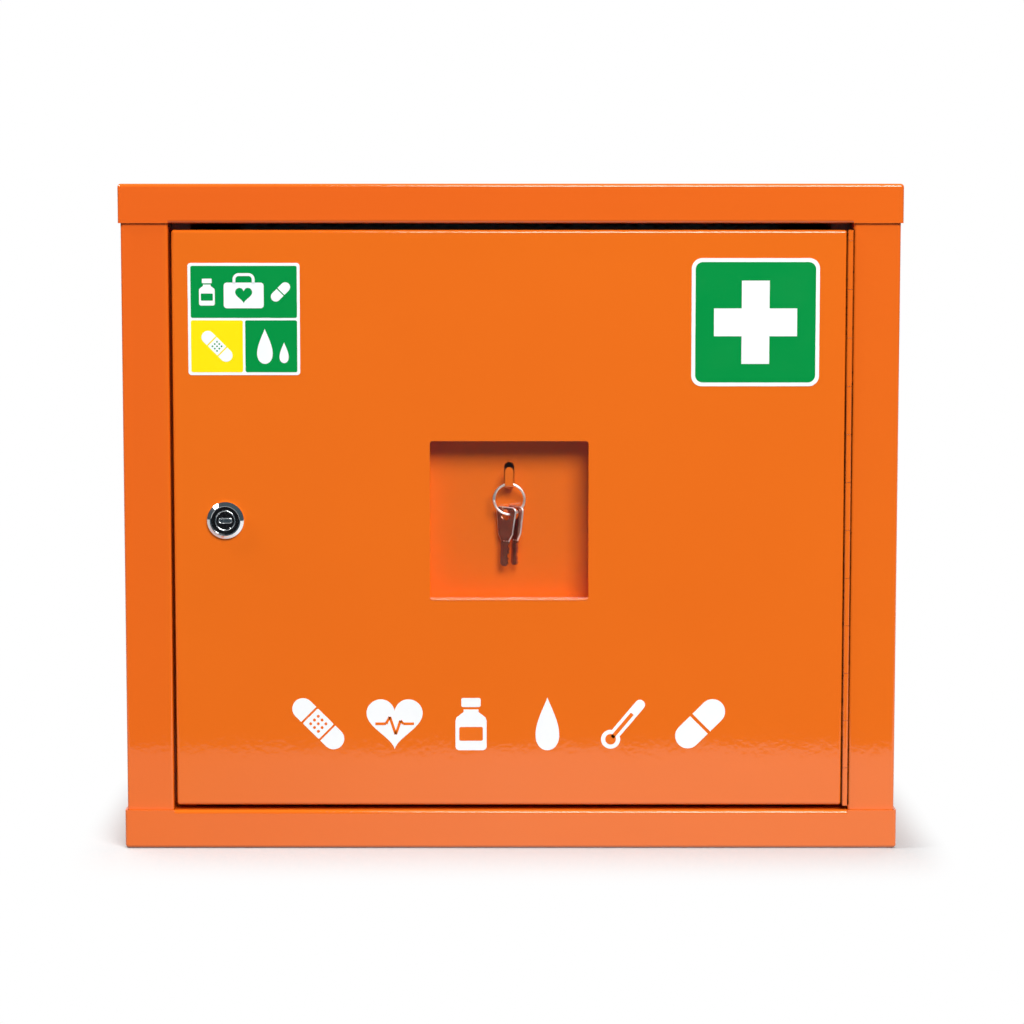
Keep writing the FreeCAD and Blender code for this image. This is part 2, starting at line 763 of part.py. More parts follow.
def niche_studs():
    """Four studs welded to the inside of the door."""
    return Part.makeCompound(
        [rod(stud_diameter, V(x, door_inside, z), Y_AXIS, stud_length) for x, z in stud_places()]
    )


def niche_nuts():
    """Four nuts that hold the niche on its studs, so that a broken pane can be replaced."""
    nuts = []
    front = gasket_back + niche_sheet
    for x, z in stud_places():
        nut = hexagon(stud_nut_flats, x, z, front, stud_nut_thickness)
        bore = stud_diameter + 2 * thread_clearance
        start = V(x, front - cut_overrun, z)
        nuts.append(nut.cut(rod(bore, start, Y_AXIS, stud_nut_thickness + 2 * cut_overrun)))
    return Part.makeCompound(nuts)


def key_ring():
    """The ring that hangs on the hook and carries both keys."""
    return Part.makeTorus(ring_radius, ring_wire / 2, V(door_middle_x, ring_y, ring_z), Y_AXIS)


def key(turn, place, lean):
    """A flat key hanging on the ring: a tapered bow with a hole, and a blade with cuts on one edge."""
    bow_foot = key_head - bow_length
    shoulder = bow_foot - shoulder_length
    tip = shoulder - blade_length
    corners = [
        (-bow_width / 2, key_head),
        (-bow_foot_width / 2, bow_foot),
        (-blade_width / 2, shoulder),
        (-blade_width / 2, tip + blade_tip_chamfer),
        (-blade_width / 2 + blade_tip_chamfer, tip),
        (blade_width / 2 - blade_tip_chamfer, tip),
        (blade_width / 2, tip + blade_tip_chamfer),
        (blade_width / 2, shoulder),
        (bow_foot_width / 2, bow_foot),
        (bow_width / 2, key_head),
    ]
    bow, foot = bow_corner_radius, shoulder_length / 2
    radii = [bow, foot, 0, 0, 0, 0, 0, 0, foot, bow]
    half = key_sheet / 2
    blank = rounded_face(corners, radii, in_xz(-half)).extrude(Y_AXIS * key_sheet)
    reach = key_sheet + 2 * cut_overrun
    blank = blank.cut(rod(key_hole_diameter, V(0, -half - cut_overrun, 0), Y_AXIS, reach))
    for i, share in enumerate(key_cut_shares):
        depth = share * blade_width
        z = shoulder - key_cut_start - i * key_cut_pitch
        edge = blade_width / 2
        mouth = key_cut_width / 2
        outside = edge + key_cut_width
        wedge = [(edge - depth, z), (outside, z + mouth + depth), (outside, z - mouth - depth)]
        notch = Part.Face(Part.makePolygon([V(u, -half - cut_overrun, v) for u, v in wedge + wedge[:1]]))
        blank = blank.cut(notch.extrude(Y_AXIS * reach))
    blank.rotate(V(0, 0, 0), Y_AXIS, lean)
    blank.rotate(V(0, 0, 0), Z_AXIS, -turn)
    angle = math.radians(place)
    x = door_middle_x + ring_radius * math.sin(angle)
    z = ring_z - ring_radius * math.cos(angle) - key_hole_drop
    blank.translate(V(x, ring_y, z))
    return blank


def sticker(side_length, radius, middle_x, middle_z):
    """A square sticker on the door's face."""
    face = rounded_square(side_length / 2, radius, middle_x, middle_z, case_front - sticker_thickness)
    return face.extrude(Y_AXIS * sticker_thickness)


def first_aid_sign():
    """The sign near the door's hinge edge."""
    half = sign_side / 2
    x, z = door_right - sign_edge_inset - half, door_top - sign_top_inset - half
    return sticker(sign_side, sign_corner_radius, x, z)


def contents_sign():
    """The sign near the door's lock edge."""
    half = contents_side / 2
    x, z = door_left + contents_edge_inset + half, door_top - contents_top_inset - half
    return sticker(contents_side, contents_corner_radius, x, z)


def pieces():
    """Every piece of the cabinet, by name."""
    return {
        "top_cap": top_cap(),
        "bottom_cap": cap(),
        "left_side_panel": side_panel(-1),
        "right_side_panel": side_panel(1),
        "back_panel": back_panel(),
        "shelf": shelf(),
        "left_shelf_rail": shelf_rail(-1),
        "right_shelf_rail": shelf_rail(1),
        "shelf_screws": shelf_screws(),
        "door_buffers": door_buffers(),
        "hinge_frame_leaf": hinge_leaf(False),
        "hinge_pin": hinge_pin(),
        "door_pan": door_pan(),
        "hinge_door_leaf": hinge_leaf(True),
        "key_niche": key_niche(),
        "pane_gasket": pane_gasket(),
        "break_pane": break_pane(),
        "niche_studs": niche_studs(),
        "niche_nuts": niche_nuts(),
        "first_aid_sign": first_aid_sign(),
        "contents_sign": contents_sign(),
        "lock_body": lock_body(),
        "lock_trim": lock_trim(),
        "lock_washer": lock_washer(),
        "lock_nut": lock_nut(),
        "lock_plug": lock_plug(),
        "lock_cam": lock_cam(),
        "cam_screw": cam_screw(),
        "key_ring": key_ring(),
        "front_key": key(front_key_turn_angle, front_key_place_angle, front_key_lean_angle),
        "rear_key": key(rear_key_turn_angle, rear_key_place_angle, rear_key_lean_angle),
    }


def main():
    os.makedirs("parts", exist_ok=True)
    for name, shape in pieces().items():
        shape.exportStep(f"parts/{name}.step")
        print(f"{name}: {len(shape.Solids)} solid, {shape.Volume:.1f} mm3, valid {shape.isValid()}")


main()
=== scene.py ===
"""First aid cabinet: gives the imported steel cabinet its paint, signs, lock, key ring, keys and stage.

Metres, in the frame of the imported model: +X to the right of someone facing the door, +Y into the wall, +Z up."""

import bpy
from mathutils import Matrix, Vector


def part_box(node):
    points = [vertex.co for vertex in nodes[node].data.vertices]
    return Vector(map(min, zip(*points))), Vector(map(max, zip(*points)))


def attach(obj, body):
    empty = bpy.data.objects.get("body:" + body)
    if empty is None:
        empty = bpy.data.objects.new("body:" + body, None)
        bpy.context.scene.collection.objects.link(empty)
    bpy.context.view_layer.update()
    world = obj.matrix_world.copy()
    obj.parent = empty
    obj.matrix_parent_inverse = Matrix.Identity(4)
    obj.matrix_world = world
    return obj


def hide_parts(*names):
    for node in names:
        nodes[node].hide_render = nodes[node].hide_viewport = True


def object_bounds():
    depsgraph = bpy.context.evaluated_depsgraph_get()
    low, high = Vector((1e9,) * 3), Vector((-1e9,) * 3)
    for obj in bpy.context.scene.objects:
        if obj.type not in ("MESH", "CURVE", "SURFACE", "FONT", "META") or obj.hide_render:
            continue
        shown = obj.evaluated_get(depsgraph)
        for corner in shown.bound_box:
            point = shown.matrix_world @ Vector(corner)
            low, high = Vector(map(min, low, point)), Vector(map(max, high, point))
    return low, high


bl_info = {
    "name": "First aid cabinet",
    "version": (1, 0, 0),
    "blender": (4, 5, 0),
    "location": "View3D > Sidebar > Cabinet",
    "description": "Paint, signs, lock, key ring, keys and stage of a wall-hung first aid cabinet",
    "category": "Object",
}

import math

import bpy
import numpy as np
from mathutils import Vector

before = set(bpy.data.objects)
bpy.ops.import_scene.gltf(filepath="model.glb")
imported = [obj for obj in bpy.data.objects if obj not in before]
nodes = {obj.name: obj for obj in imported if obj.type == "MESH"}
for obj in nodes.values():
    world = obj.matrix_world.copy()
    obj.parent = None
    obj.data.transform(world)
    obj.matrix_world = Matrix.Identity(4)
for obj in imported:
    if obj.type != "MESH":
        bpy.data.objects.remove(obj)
cad_low, cad_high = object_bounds()

mm = 0.001
full_turn = 2 * math.pi
door_low, door_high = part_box("door_pan")
door_face = door_low.y
sign_low, sign_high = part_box("first_aid_sign")
list_low, list_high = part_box("contents_sign")
lock_low, lock_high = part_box("lock_body")
plug_low, plug_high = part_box("lock_plug")
lock_axis = np.array([(lock_low.x + lock_high.x) / 2, (plug_low.z + plug_high.z) / 2])
ring_low, ring_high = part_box("key_ring")
ring_middle = (ring_low + ring_high) / 2
ring_wire = ring_high.y - ring_low.y
ring_radius = (ring_high.x - ring_low.x) / 2 - ring_wire / 2

painted_nodes = (
    "top_cap bottom_cap left_side_panel right_side_panel back_panel shelf left_shelf_rail right_shelf_rail "
    "hinge_frame_leaf door_pan hinge_door_leaf key_niche"
).split()
zinc_nodes = "shelf_screws hinge_pin niche_studs niche_nuts lock_washer lock_nut lock_cam cam_screw".split()
rubber_nodes = "door_buffers pane_gasket".split()


# Sizes and colours


def number(label, text, value, **kind):
    """A number that a user may change."""
    return bpy.props.FloatProperty(name=label, description=text, default=value, **kind)


def length(label, text, value):
    """A length that a user may change, given in millimetres."""
    return number(label, text, value * mm, unit="LENGTH", precision=5)


def colour(label, text, value):
    """A colour that a user may change."""
    return bpy.props.FloatVectorProperty(
        name=label, description=text, subtype="COLOR", size=4, min=0, max=1, default=(*value, 1)
    )


class CabinetFinishes(bpy.types.PropertyGroup):
    """Colours and gloss of the paint, the metals and the rubber, with the sizes of the paint's peel and of the
    door's window.
    """

    paint: colour("Paint", "Orange of the powder coat", (0.84, 0.158, 0.0075))
    paint_deep: colour("Deep paint", "Slightly deeper orange in the paint's slow clouds", (0.81, 0.146, 0.0068))
    # Painted shade: the frame turns redder and darker towards its upper left, away from the key lamp.
    paint_frame: colour("Frame paint", "Redder orange towards the upper left of the frame", (0.82, 0.127, 0.0095))
    paint_gloss: number("Paint roughness", "Roughness of the glossy paint", 0.05, subtype="FACTOR", min=0, max=1)
    peel_size: length("Peel size", "Width of the paint's orange peel", 2.6)
    peel_depth: length("Peel depth", "Height of the paint's orange peel", 0.036)
    window: length("Window", "Side of the square window in the door", 100.0)
    window_corner: length("Window corner", "Corner radius of the window", 2.0)
    paint_bead: length("Paint bead", "Radius of the paint that rounds the window's cut edge", 0.6)
    zinc: colour("Zinc", "Bright zinc plate of screws, nuts and cam", (0.60, 0.61, 0.63))
    chrome: colour("Chrome", "Chrome of the lock's housing and plug", (0.88, 0.89, 0.90))
    lock_black: colour("Lock black", "Black lacquer in the lock's face", (0.004, 0.004, 0.005))
    # Painted shade: this dark tint marks the seams beside the hinge, mottled like dirt.
    grime: colour("Grime", "Dark line of dust in the seams beside the hinge", (0.016, 0.004, 0.002))
    # Painted reflection: the keys' warm tint stands in for the orange niche mirrored in their nickel plate.
    nickel: colour("Nickel", "Worn warm nickel plate of the keys", (0.50, 0.25, 0.17))
    ring: colour("Ring", "Bright nickel plate of the split ring", (0.90, 0.88, 0.86))
    rubber: colour("Rubber", "Rubber of the buffers and the pane's gasket", (0.018, 0.018, 0.019))


class CabinetSigns(bpy.types.PropertyGroup):
    """Films on the door: the first aid sign, the contents sign and the row of white pictures."""

    green: colour("Green", "Safety green of the signs", (0.0004, 0.275, 0.051))
    yellow: colour("Yellow", "Yellow panel of the contents sign", (0.98, 0.78, 0.004))
    white: colour("White", "White film", (0.93, 0.94, 0.95))
    film: length("Film", "Thickness of a printed or cut film", 0.06)
    border: length("Border", "White border of the first aid sign", 2.4)
    field_corner: length("Field corner", "Corner radius of the green field", 4.6)
    cross_span: length("Cross span", "Length of the white cross from end to end", 52.0)
    cross_arm: length("Cross arm", "Width of an arm of the white cross", 17.4)
    margin: length("Margin", "White margin of the contents sign", 1.8)
    panel_gap: length("Panel gap", "White line between the panels of the contents sign", 1.5)
    picture_height: length("Picture height", "Height of the white pictures under the niche", 34.0)
    picture_pitch: length("Picture pitch", "From one white picture to the next", 48.4)
    picture_middle: length("Picture middle", "Height of the row's middle above the foot", 79.8)


class CabinetLock(bpy.types.PropertyGroup):
    """Turned sizes of the cam lock."""

    slope: length("Slope", "Width of the bezel's bevelled edge", 2.1)
    foot: length("Foot", "Height of the bezel's upright edge", 1.3)
    land: length("Land", "Width of the bezel's flat rim", 0.7)
    recess: length("Recess", "Depth of the bezel's sunk face", 1.3)
    barrel: length("Barrel", "Diameter of the threaded barrel", 19.0)
    flats: length("Flats", "Distance across the barrel's flats", 15.96)
    thread: length("Thread", "Pitch of the barrel's thread", 1.0)
    plug_rim: length("Plug rim", "Width of the plug's bright rim", 0.75)
    keyway: length("Keyway", "Length of the keyway", 7.6)
    keyway_width: length("Keyway width", "Width of the keyway", 2.2)


class CabinetKeys(bpy.types.PropertyGroup):
    """Sizes of the split ring and the two keys that hang on it."""

    ring_slit: length("Ring slit", "Gap between the two turns of the split ring", 0.08)
    sheet: length("Key sheet", "Thickness of a key", 1.4)
    bow: length("Bow", "Width of a key's bow at its top", 15.2)
    bow_foot: length("Bow foot", "Width of a key's bow above its shoulders", 11.0)
    blade: length("Blade", "Width of a key's blade", 5.8)
    blade_length: length("Blade length", "Length of a key's blade below its shoulders", 15.6)
    hole: length("Hole", "Diameter of the hole in a key's bow", 6.8)


class CabinetStage(bpy.types.PropertyGroup):
    """Camera, lamps and floor."""

    distance: length("Distance", "From the cabinet's front to the camera", 1800.0)
    eye: length("Eye height", "Height of the camera above the floor", 388.1)
    tilt: number("Tilt", "How far the camera looks down", math.radians(5.5), unit="ROTATION")
    lens: number("Lens", "Focal length of the camera", 101.1, unit="CAMERA")
    key_power: number("Key", "Large lamp on the right", 243.0, unit="POWER")
    side_power: number("Side", "Small lamp on the left", 30.0, unit="POWER")
    sky: number("Sky", "Soft light from above, in watts a square metre", 1.3)
    floor: colour("Floor", "Pale floor", (0.56, 0.56, 0.56))
    table_front: length("Table front", "From the cabinet's front to the floor's front edge", 360.0)


setting_groups = {
    "cabinet_finishes": CabinetFinishes,
    "cabinet_signs": CabinetSigns,
    "cabinet_lock": CabinetLock,
    "cabinet_keys": CabinetKeys,
    "cabinet_stage": CabinetStage,
}


# Meshes


def loop_faces(rows, columns, round_trip=False):
    """Quads of a grid of closed loops: row r, column c joins row r + 1 and column c + 1, and the last column
    joins the first. With round_trip the last row joins the first as well, as on a ring."""
    c = np.arange(columns)
    r = np.arange(rows if round_trip else rows - 1)[:, None]
    beside = (c + 1) % columns
    here, below = r * columns, (r + 1) % rows * columns
    return np.stack([here + c, below + c, below + beside, here + beside], axis=-1).reshape(-1, 4)


def capped(rows):
    """A closed shell from loops of points, rows x columns x 3: quads between the loops, and at both ends a
    fan to the middle of the end loop."""
    count, columns = rows.shape[:2]
    points = np.concatenate([rows.reshape(-1, 3), rows[:1].mean(1), rows[-1:].mean(1)])
    c = np.arange(columns)
    n = (c + 1) % columns
    last = (count - 1) * columns
    start = np.stack([np.full(columns, count * columns), c, n], axis=-1)
    end = np.stack([np.full(columns, count * columns + 1), last + n, last + c], axis=-1)
    return points, [loop_faces(count, columns), start, end]


def wound(rows):
    """A closed ring-shaped shell from loops of points: the last loop joins the first."""
    return rows.reshape(-1, 3), [loop_faces(*rows.shape[:2], True)]


def volume(points, faces):
    """Six times the signed volume inside a shell: the sum of a . (b x c) over its triangles."""
    triangles = np.concatenate([f[:, [0, i, i + 1]] for f in faces for i in range(1, f.shape[1] - 1)])
    a, b, c = (points[triangles[:, i]] for i in range(3))
    return np.einsum("ij,ij->", a, np.cross(b, c))


def placed(name, data):
    """A new object in the scene."""
    made = bpy.data.objects.new(name, data)
    bpy.context.scene.collection.objects.link(made)
    return made


def make_piece(name, shells, material, body, crease=35):
    """One object from closed shells, faces outwards, that rides on a body of the frame. Edges sharper than
    crease degrees stay sharp."""
    points, faces, start = [], [], 0
    for shell_points, shell_faces in shells:
        turn = -1 if volume(shell_points - shell_points.mean(0), shell_faces) < 0 else 1
        points.append(shell_points)
        faces += [row for f in shell_faces for row in (f[:, ::turn] + start).tolist()]
        start += len(shell_points)
    mesh = bpy.data.meshes.new(name)
    mesh.from_pydata(np.concatenate(points).tolist(), [], faces)
    mesh.shade_smooth()
    mesh.set_sharp_from_angle(angle=math.radians(crease))
    mesh.materials.append(material)
    mesh.validate()
    piece = placed(name, mesh)
    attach(piece, body)
    return piece


def turn_steps(count):
    """Even angles round one full turn."""
    return np.linspace(0, full_turn, count, endpoint=False)


def polar(radius, angle):
    """Flat points r (cos a, sin a)."""
    return np.stack([radius * np.cos(angle), radius * np.sin(angle)], axis=-1)


def upright(flat, y):
    """Points (x, y, z) from flat points (x, z) and their depth y."""
    return np.stack([flat[..., 0], np.broadcast_to(y, flat.shape[:-1]), flat[..., 1]], axis=-1)


def flat_middle(low, high):
    """Middle of a box in the door's plane."""
    return np.array([(low.x + high.x) / 2, (low.z + high.z) / 2])


def arc(radius, start, end, steps=17):
    """Points of a circle between two angles, in degrees."""
    return polar(radius, np.radians(np.linspace(start, end, steps)))


def rounded(width, height, radius, steps=9):
    """Outline of a rectangle with rounded corners, anticlockwise: corner middle + radius (cos a, sin a)."""
    middles = np.array([(1, 1), (-1, 1), (-1, -1), (1, -1)]) * (np.array([width, height]) / 2 - radius)
    a = np.arange(4)[:, None] * math.pi / 2 + np.linspace(0, math.pi / 2, steps)
    return (middles[:, None] + polar(radius, a)).reshape(-1, 2)


def turned_by(points, degrees):
    """Flat points turned about their origin."""
    a = math.radians(degrees)
    return np.array(points) @ np.array([[math.cos(a), math.sin(a)], [-math.sin(a), math.cos(a)]])


def film(outline, at, face, middle=(0, 0)):
    """A thin film on a face of the door. Its outline o(v) closes towards the middle m on both sides:
    P(u, v) = m + s(u) (o(v) - m), at the depth y(u), with a soft edge."""
    thickness = bpy.context.scene.cabinet_signs.film
    m = np.array(middle, float)
    rim = np.linalg.norm(outline - m, axis=1).mean()
    s = np.array([0.5, 1 - 0.3 * thickness / rim, 1, 1, 0.5])
    y = face - thickness * np.array([1, 1, 0.7, 0, 0])
    return capped(upright(m + s[:, None, None] * (outline - m) + np.array(at), y[:, None]))


def band(path, width, at, face):
    """A thin film of even width along a flat path p(v): P(u, v) = p(v) + u n(v), with n across the path and
    u from -width/2 to width/2, on the front and on the face."""
    along = np.gradient(path, axis=0)
    along /= np.linalg.norm(along, axis=1)[:, None]
    across = np.column_stack([-along[:, 1], along[:, 0]]) * width / 2
    edges = np.stack([path - across, path + across, path + across, path - across], axis=1) + np.array(at)
    thickness = bpy.context.scene.cabinet_signs.film
    return capped(upright(edges, face - thickness * np.array([1, 1, 0, 0])))


# Pictures, each drawn in a square of side 1 about its middle

bulb_middle = np.array([0, -0.34])
pulse_line = np.array([(-0.36, 0), (-0.16, 0), (-0.09, 0.13), (0.02, -0.2), (0.11, 0.06), (0.16, 0), (0.36, 0)])
bottle_side = np.array(
    [(0.23, -0.5), (0.27, -0.48), (0.29, -0.44), (0.29, 0.06), (0.27, 0.12), (0.14, 0.22), (0.14, 0.27)]
)


def heart():
    """Outline of a heart: x = 16 sin^3 t, z = 13 cos t - 5 cos 2t - 2 cos 3t - cos 4t, to scale."""
    t = turn_steps(96)
    z = 13 * np.cos(t) - 5 * np.cos(2 * t) - 2 * np.cos(3 * t) - np.cos(4 * t)
    return np.column_stack([16 * np.sin(t) ** 3, z + 2.2]) / 30.0


def drop():
    """Outline of a drop: x = 0.62 sin t sin^1.4(t/2), z = cos t, halved."""
    t = turn_steps(72)
    return np.column_stack([0.62 * np.sin(t) * np.sin(t / 2) ** 1.4, np.cos(t)]) / 2


def half_pill(span, radius, gap):
    """Outline of the right half of a pill: a half circle at its end and a straight cut near its middle."""
    end = arc(radius, -90, 90) + [span / 2 - radius, 0]
    return np.concatenate([end, [[gap / 2, radius], [gap / 2, -radius]]])


def halves(half, inside, degrees):
    """A half and its twin, turned, each with a point inside it."""
    return [(turned_by(half, turn), turned_by((inside, 0), turn)) for turn in (degrees, degrees + 180)]


def thermometer():
    """Outline of a thermometer: a round bulb below and a slim stem with a round top."""
    bulb, stem, stem_top = 0.16, 0.085, 0.415
    join = math.degrees(math.asin(stem / bulb))
    ball = arc(bulb, 90 + join, 450 - join, 33) + bulb_middle
    return np.concatenate([ball, arc(stem, 0, 180) + [0, stem_top]])


def tilted(points):
    """Points of the thermometer, leaning to the right and a little larger."""
    return turned_by(points, -40) * 1.12


def films(shapes, size, at, face):
    """Films of outlines, each given with the point that it closes towards."""
    return [film(outline * size, at, face, np.array(middle) * size) for outline, middle in shapes]


def picture(kind, size, at, face):
    """Films of one picture, with its middle at a place on the face."""
    pad = turned_by(rounded(0.42, 0.4, 0.02, 4), -45)
    bottle = np.concatenate([bottle_side, bottle_side[::-1] * [-1, 1]])
    cap = np.array([0, 0.4])
    shapes = {
        "heart": [(heart() * 0.98, (0, 0))],
        "drop": [(drop(), (0, -0.15))],
        "capsule": halves(half_pill(1.12, 0.235, 0.06), 0.28, 45),
        "plaster": halves(half_pill(1.2, 0.2, 0.5), 0.4, -45) + [(pad, (0, 0))],
        "thermometer": [(tilted(thermometer()), tilted(bulb_middle))],
        "bottle": [(bottle, (0, -0.15)), (rounded(0.36, 0.17, 0.03, 4) + cap, cap)],
    }
    return films(shapes[kind], size, at, face)


def picture_marks(kind, size, at, face):
    """Small films laid over a picture: pulse line, pad holes, mercury or label."""
    spots = turned_by([(a, b) for a in (-0.1, 0, 0.1) for b in (-0.1, 0, 0.1)], -45)
    bulb, label = tilted(bulb_middle), np.array([0, -0.19])
    column = tilted(np.column_stack([np.zeros(8), np.linspace(-0.3, 0.22, 8)]))
    shapes = {
        "plaster": [(arc(0.028, 0, 330, 12) + spot, spot) for spot in spots],
        "thermometer": [(arc(0.1, 0, 345, 24) + bulb, bulb)],
        "bottle": [(rounded(0.44, 0.26, 0.03, 4) + label, label)],
    }
    lines = {
        "heart": [(leg, 0.05) for leg in np.linspace(pulse_line[:-1], pulse_line[1:], 6, axis=1)],
        "thermometer": [(column, 0.07)],
    }
    bands = [band(path * size, width * size, at, face) for path, width in lines.get(kind, [])]
    return films(shapes.get(kind, []), size, at, face) + bands


# Shader nodes


def add(tree, kind, inputs=None, **settings):
    """A shader node with its settings. An input takes a plain value, or is linked to another node's socket."""
    made = tree.nodes.new("ShaderNode" + kind)
    for name, value in settings.items():
        setattr(made, name, value)
    for name, value in (inputs or {}).items():
        if isinstance(value, bpy.types.NodeSocket):
            tree.links.new(value, made.inputs[name])
        else:
            made.inputs[name].default_value = value
    return made


def maths(tree, operation, *values):
    """One step of arithmetic on numbers."""
    return add(tree, "Math", dict(enumerate(values)), operation=operation).outputs[0]


def vectors(tree, operation, *values):
    """One step of arithmetic on vectors. A length or a dot product is a number."""
    made = add(tree, "VectorMath", dict(enumerate(values)), operation=operation)
    return made.outputs["Value" if operation in ("LENGTH", "DOT_PRODUCT") else "Vector"]


def parts(tree, vector):
    """The X, Y and Z of a vector."""
    return add(tree, "SeparateXYZ", {"Vector": vector}).outputs


def past_box(tree, place, half):
    """How far a place lies outside a box about the origin, along each axis: max(|p| - half, 0)."""
    past = vectors(tree, "SUBTRACT", vectors(tree, "ABSOLUTE", place), half)
    return vectors(tree, "MAXIMUM", past, (0, 0, 0))


def spread(tree, value, start, end, low=0.0, high=1.0, **settings):
    """A value between start and end, spread between low and high."""
    inputs = {"Value": value, "From Min": start, "From Max": end, "To Min": low, "To Max": high}
    return add(tree, "MapRange", inputs, **settings).outputs["Result"]


def mixed(tree, value, first, second):
    """Two colours mixed by a mask."""
    return add(tree, "Mix", {0: value, 6: first, 7: second}, data_type="RGBA").outputs[2]


def chosen(tree, value, first, second):
    """Two shaders mixed by a mask."""
    return add(tree, "MixShader", {0: value, 1: first, 2: second}).outputs["Shader"]


def noise(tree, place, scale, detail, roughness):
    """A noise between 0 and 1."""
    inputs = {"Vector": place, "Scale": scale, "Detail": detail, "Roughness": roughness}
    return add(tree, "TexNoise", inputs).outputs["Fac"]


def emptied(owner):
    """The cleared node tree of a material or a world."""
    owner.use_nodes = True
    owner.node_tree.nodes.clear()
    return owner.node_tree


def show(tree, surface, kind="Material"):
    """Puts a shader on the surface of a material or a world."""
    add(tree, "Output" + kind, {"Surface": surface})


# Shared effects


def new_group(name, inputs, outputs):
    """An empty shader node group that takes a place and named numbers, and gives named numbers."""
    group = bpy.data.node_groups.new(name, "ShaderNodeTree")
    group.interface.new_socket("Vector", in_out="INPUT", socket_type="NodeSocketVector")
    for way, labels in (("INPUT", inputs), ("OUTPUT", outputs)):
        for label in labels:
            group.interface.new_socket(label, in_out=way, socket_type="NodeSocketFloat")
    return group, group.nodes.new("NodeGroupInput").outputs, group.nodes.new("NodeGroupOutput").inputs


def orange_peel():
    """Orange peel: fine round ripples over slow waves of the sheet, as a height, and slow clouds as a mask."""
    group, enter, leave = new_group("orange_peel", ["Ripple Scale", "Wave Share"], ["Height", "Clouds"])
    place = enter["Vector"]
    ripple = noise(group, place, enter["Ripple Scale"], 1.0, 0.35)
    wave = noise(group, place, 26.0, 1.0, 0.4)
    group.links.new(maths(group, "MULTIPLY_ADD", wave, enter["Wave Share"], ripple), leave["Height"])
    group.links.new(noise(group, place, 9.0, 3.0, 0.55), leave["Clouds"])
    return group


def handling_haze():
    """Handling haze: soft patches crossed by fine short scratches, as one mask, and the scratches alone."""
    group, enter, leave = new_group("handling_haze", ["Patch Scale", "Scratch Scale"], ["Mask", "Scratch"])
    place = enter["Vector"]
    stretch = {"Vector": place, "Rotation": (0.4, 0.7, 0.5), "Scale": (1.0, 0.06, 1.0)}
    along = add(group, "Mapping", stretch).outputs["Vector"]
    patch = noise(group, place, enter["Patch Scale"], 4.0, 0.6)
    scratch = spread(group, noise(group, along, enter["Scratch Scale"], 2.0, 0.7), 0.56, 0.72)
    group.links.new(maths(group, "MULTIPLY_ADD", scratch, 0.35, patch), leave["Mask"])
    group.links.new(scratch, leave["Scratch"])
    return group


def effect(tree, make, place, *values):
    """A shared effect in a material, with its own values. Its group bears the name of the function that makes it."""
    group = bpy.data.node_groups.get(make.__name__) or make()
    return add(tree, "Group", dict(enumerate((place, *values))), node_tree=group).outputs


# Materials

haze_low, haze_high = 0.3, 0.7  # between which most of the haze's mask lies
peel_waves = 5.0  # height of the sheet's slow waves over that of the peel

# Plated metals: colour, roughness where smooth and where worn, scale and depth of the scratches
plates = {
    "bright_zinc": ("zinc", (0.2, 0.42), 900.0, 0.004 * mm),
    "lock_chrome_plate": ("chrome", (0.04, 0.14), 1400.0, 0.0015 * mm),
    "key_nickel_plate": ("nickel", (0.12, 0.26), 1600.0, 0.0008 * mm),
    "ring_nickel_plate": ("ring", (0.26, 0.38), 1600.0, 0.002 * mm),
}


def new_material(name):
    """A material with nothing in it but the object's own coordinates."""
    material = bpy.data.materials.new(name)
    tree = emptied(material)
    return material, tree, add(tree, "TexCoord").outputs["Object"]


def hazed(tree, haze, low, high):
    """The haze's mask spread between two values."""
    return spread(tree, haze["Mask"], haze_low, haze_high, low, high)


def principled(tree, inputs, height=None, depth=0.0):
    """A Principled shader. A height, whose size is depth in metres, is put on its normal."""
    if height:
        bump = add(tree, "Bump", {"Strength": 1.0, "Distance": depth, "Height": height})
        inputs = {**inputs, "Normal": bump.outputs["Normal"]}
    return add(tree, "BsdfPrincipled", inputs).outputs["BSDF"]


def hinge_seams(tree, place):
    """Mask of the painted shade in the two narrow seams beside the hinge's knuckles: strong where a point's distance
    from the pin's plane is near one knuckle radius, within the door's height and near its face."""
    seam_aside, seam_outer, seam_inner, seam_depth, seam_strength = 0.1 * mm, 0.75 * mm, 0.4 * mm, 4 * mm, 0.9
    low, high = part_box("hinge_door_leaf")
    knuckle = (high.x - low.x) / 2
    middle = (low.x + knuckle, door_face, (low.z + high.z) / 2)
    x, y, z = parts(tree, vectors(tree, "ABSOLUTE", vectors(tree, "SUBTRACT", place, middle)))
    away = maths(tree, "ABSOLUTE", maths(tree, "SUBTRACT", x, knuckle + seam_aside))
    line = spread(tree, away, seam_outer, seam_inner, 0.0, seam_strength)
    shallow = maths(tree, "LESS_THAN", y, seam_depth)
    within = maths(tree, "LESS_THAN", z, (high.z - low.z) / 2)
    return maths(tree, "MULTIPLY", maths(tree, "MULTIPLY", shallow, within), line)


def frame_blush(tree, place):
    """Mask of the painted shade on the frame round the door: nothing on the door's rectangle, and outside it z - x /
    2, from none at 0 to full at half a metre."""
    soft_edge = 6 * mm
    middle, half = (door_low + door_high) / 2, (door_high - door_low) / 2
    away = vectors(tree, "SUBTRACT", place, (middle.x, 0, middle.z))
    past = past_box(tree, away, (half.x, 1, half.z))
    outside = spread(tree, vectors(tree, "LENGTH", past), 0, soft_edge)
    rise = spread(tree, vectors(tree, "DOT_PRODUCT", place, (-0.5, 0, 1)), 0, 0.5)
    return maths(tree, "MULTIPLY", outside, rise)


def shade(value, factor):
    """A colour made darker or lighter."""
    return (*[min(1.0, c * factor) for c in value[:3]], 1.0)


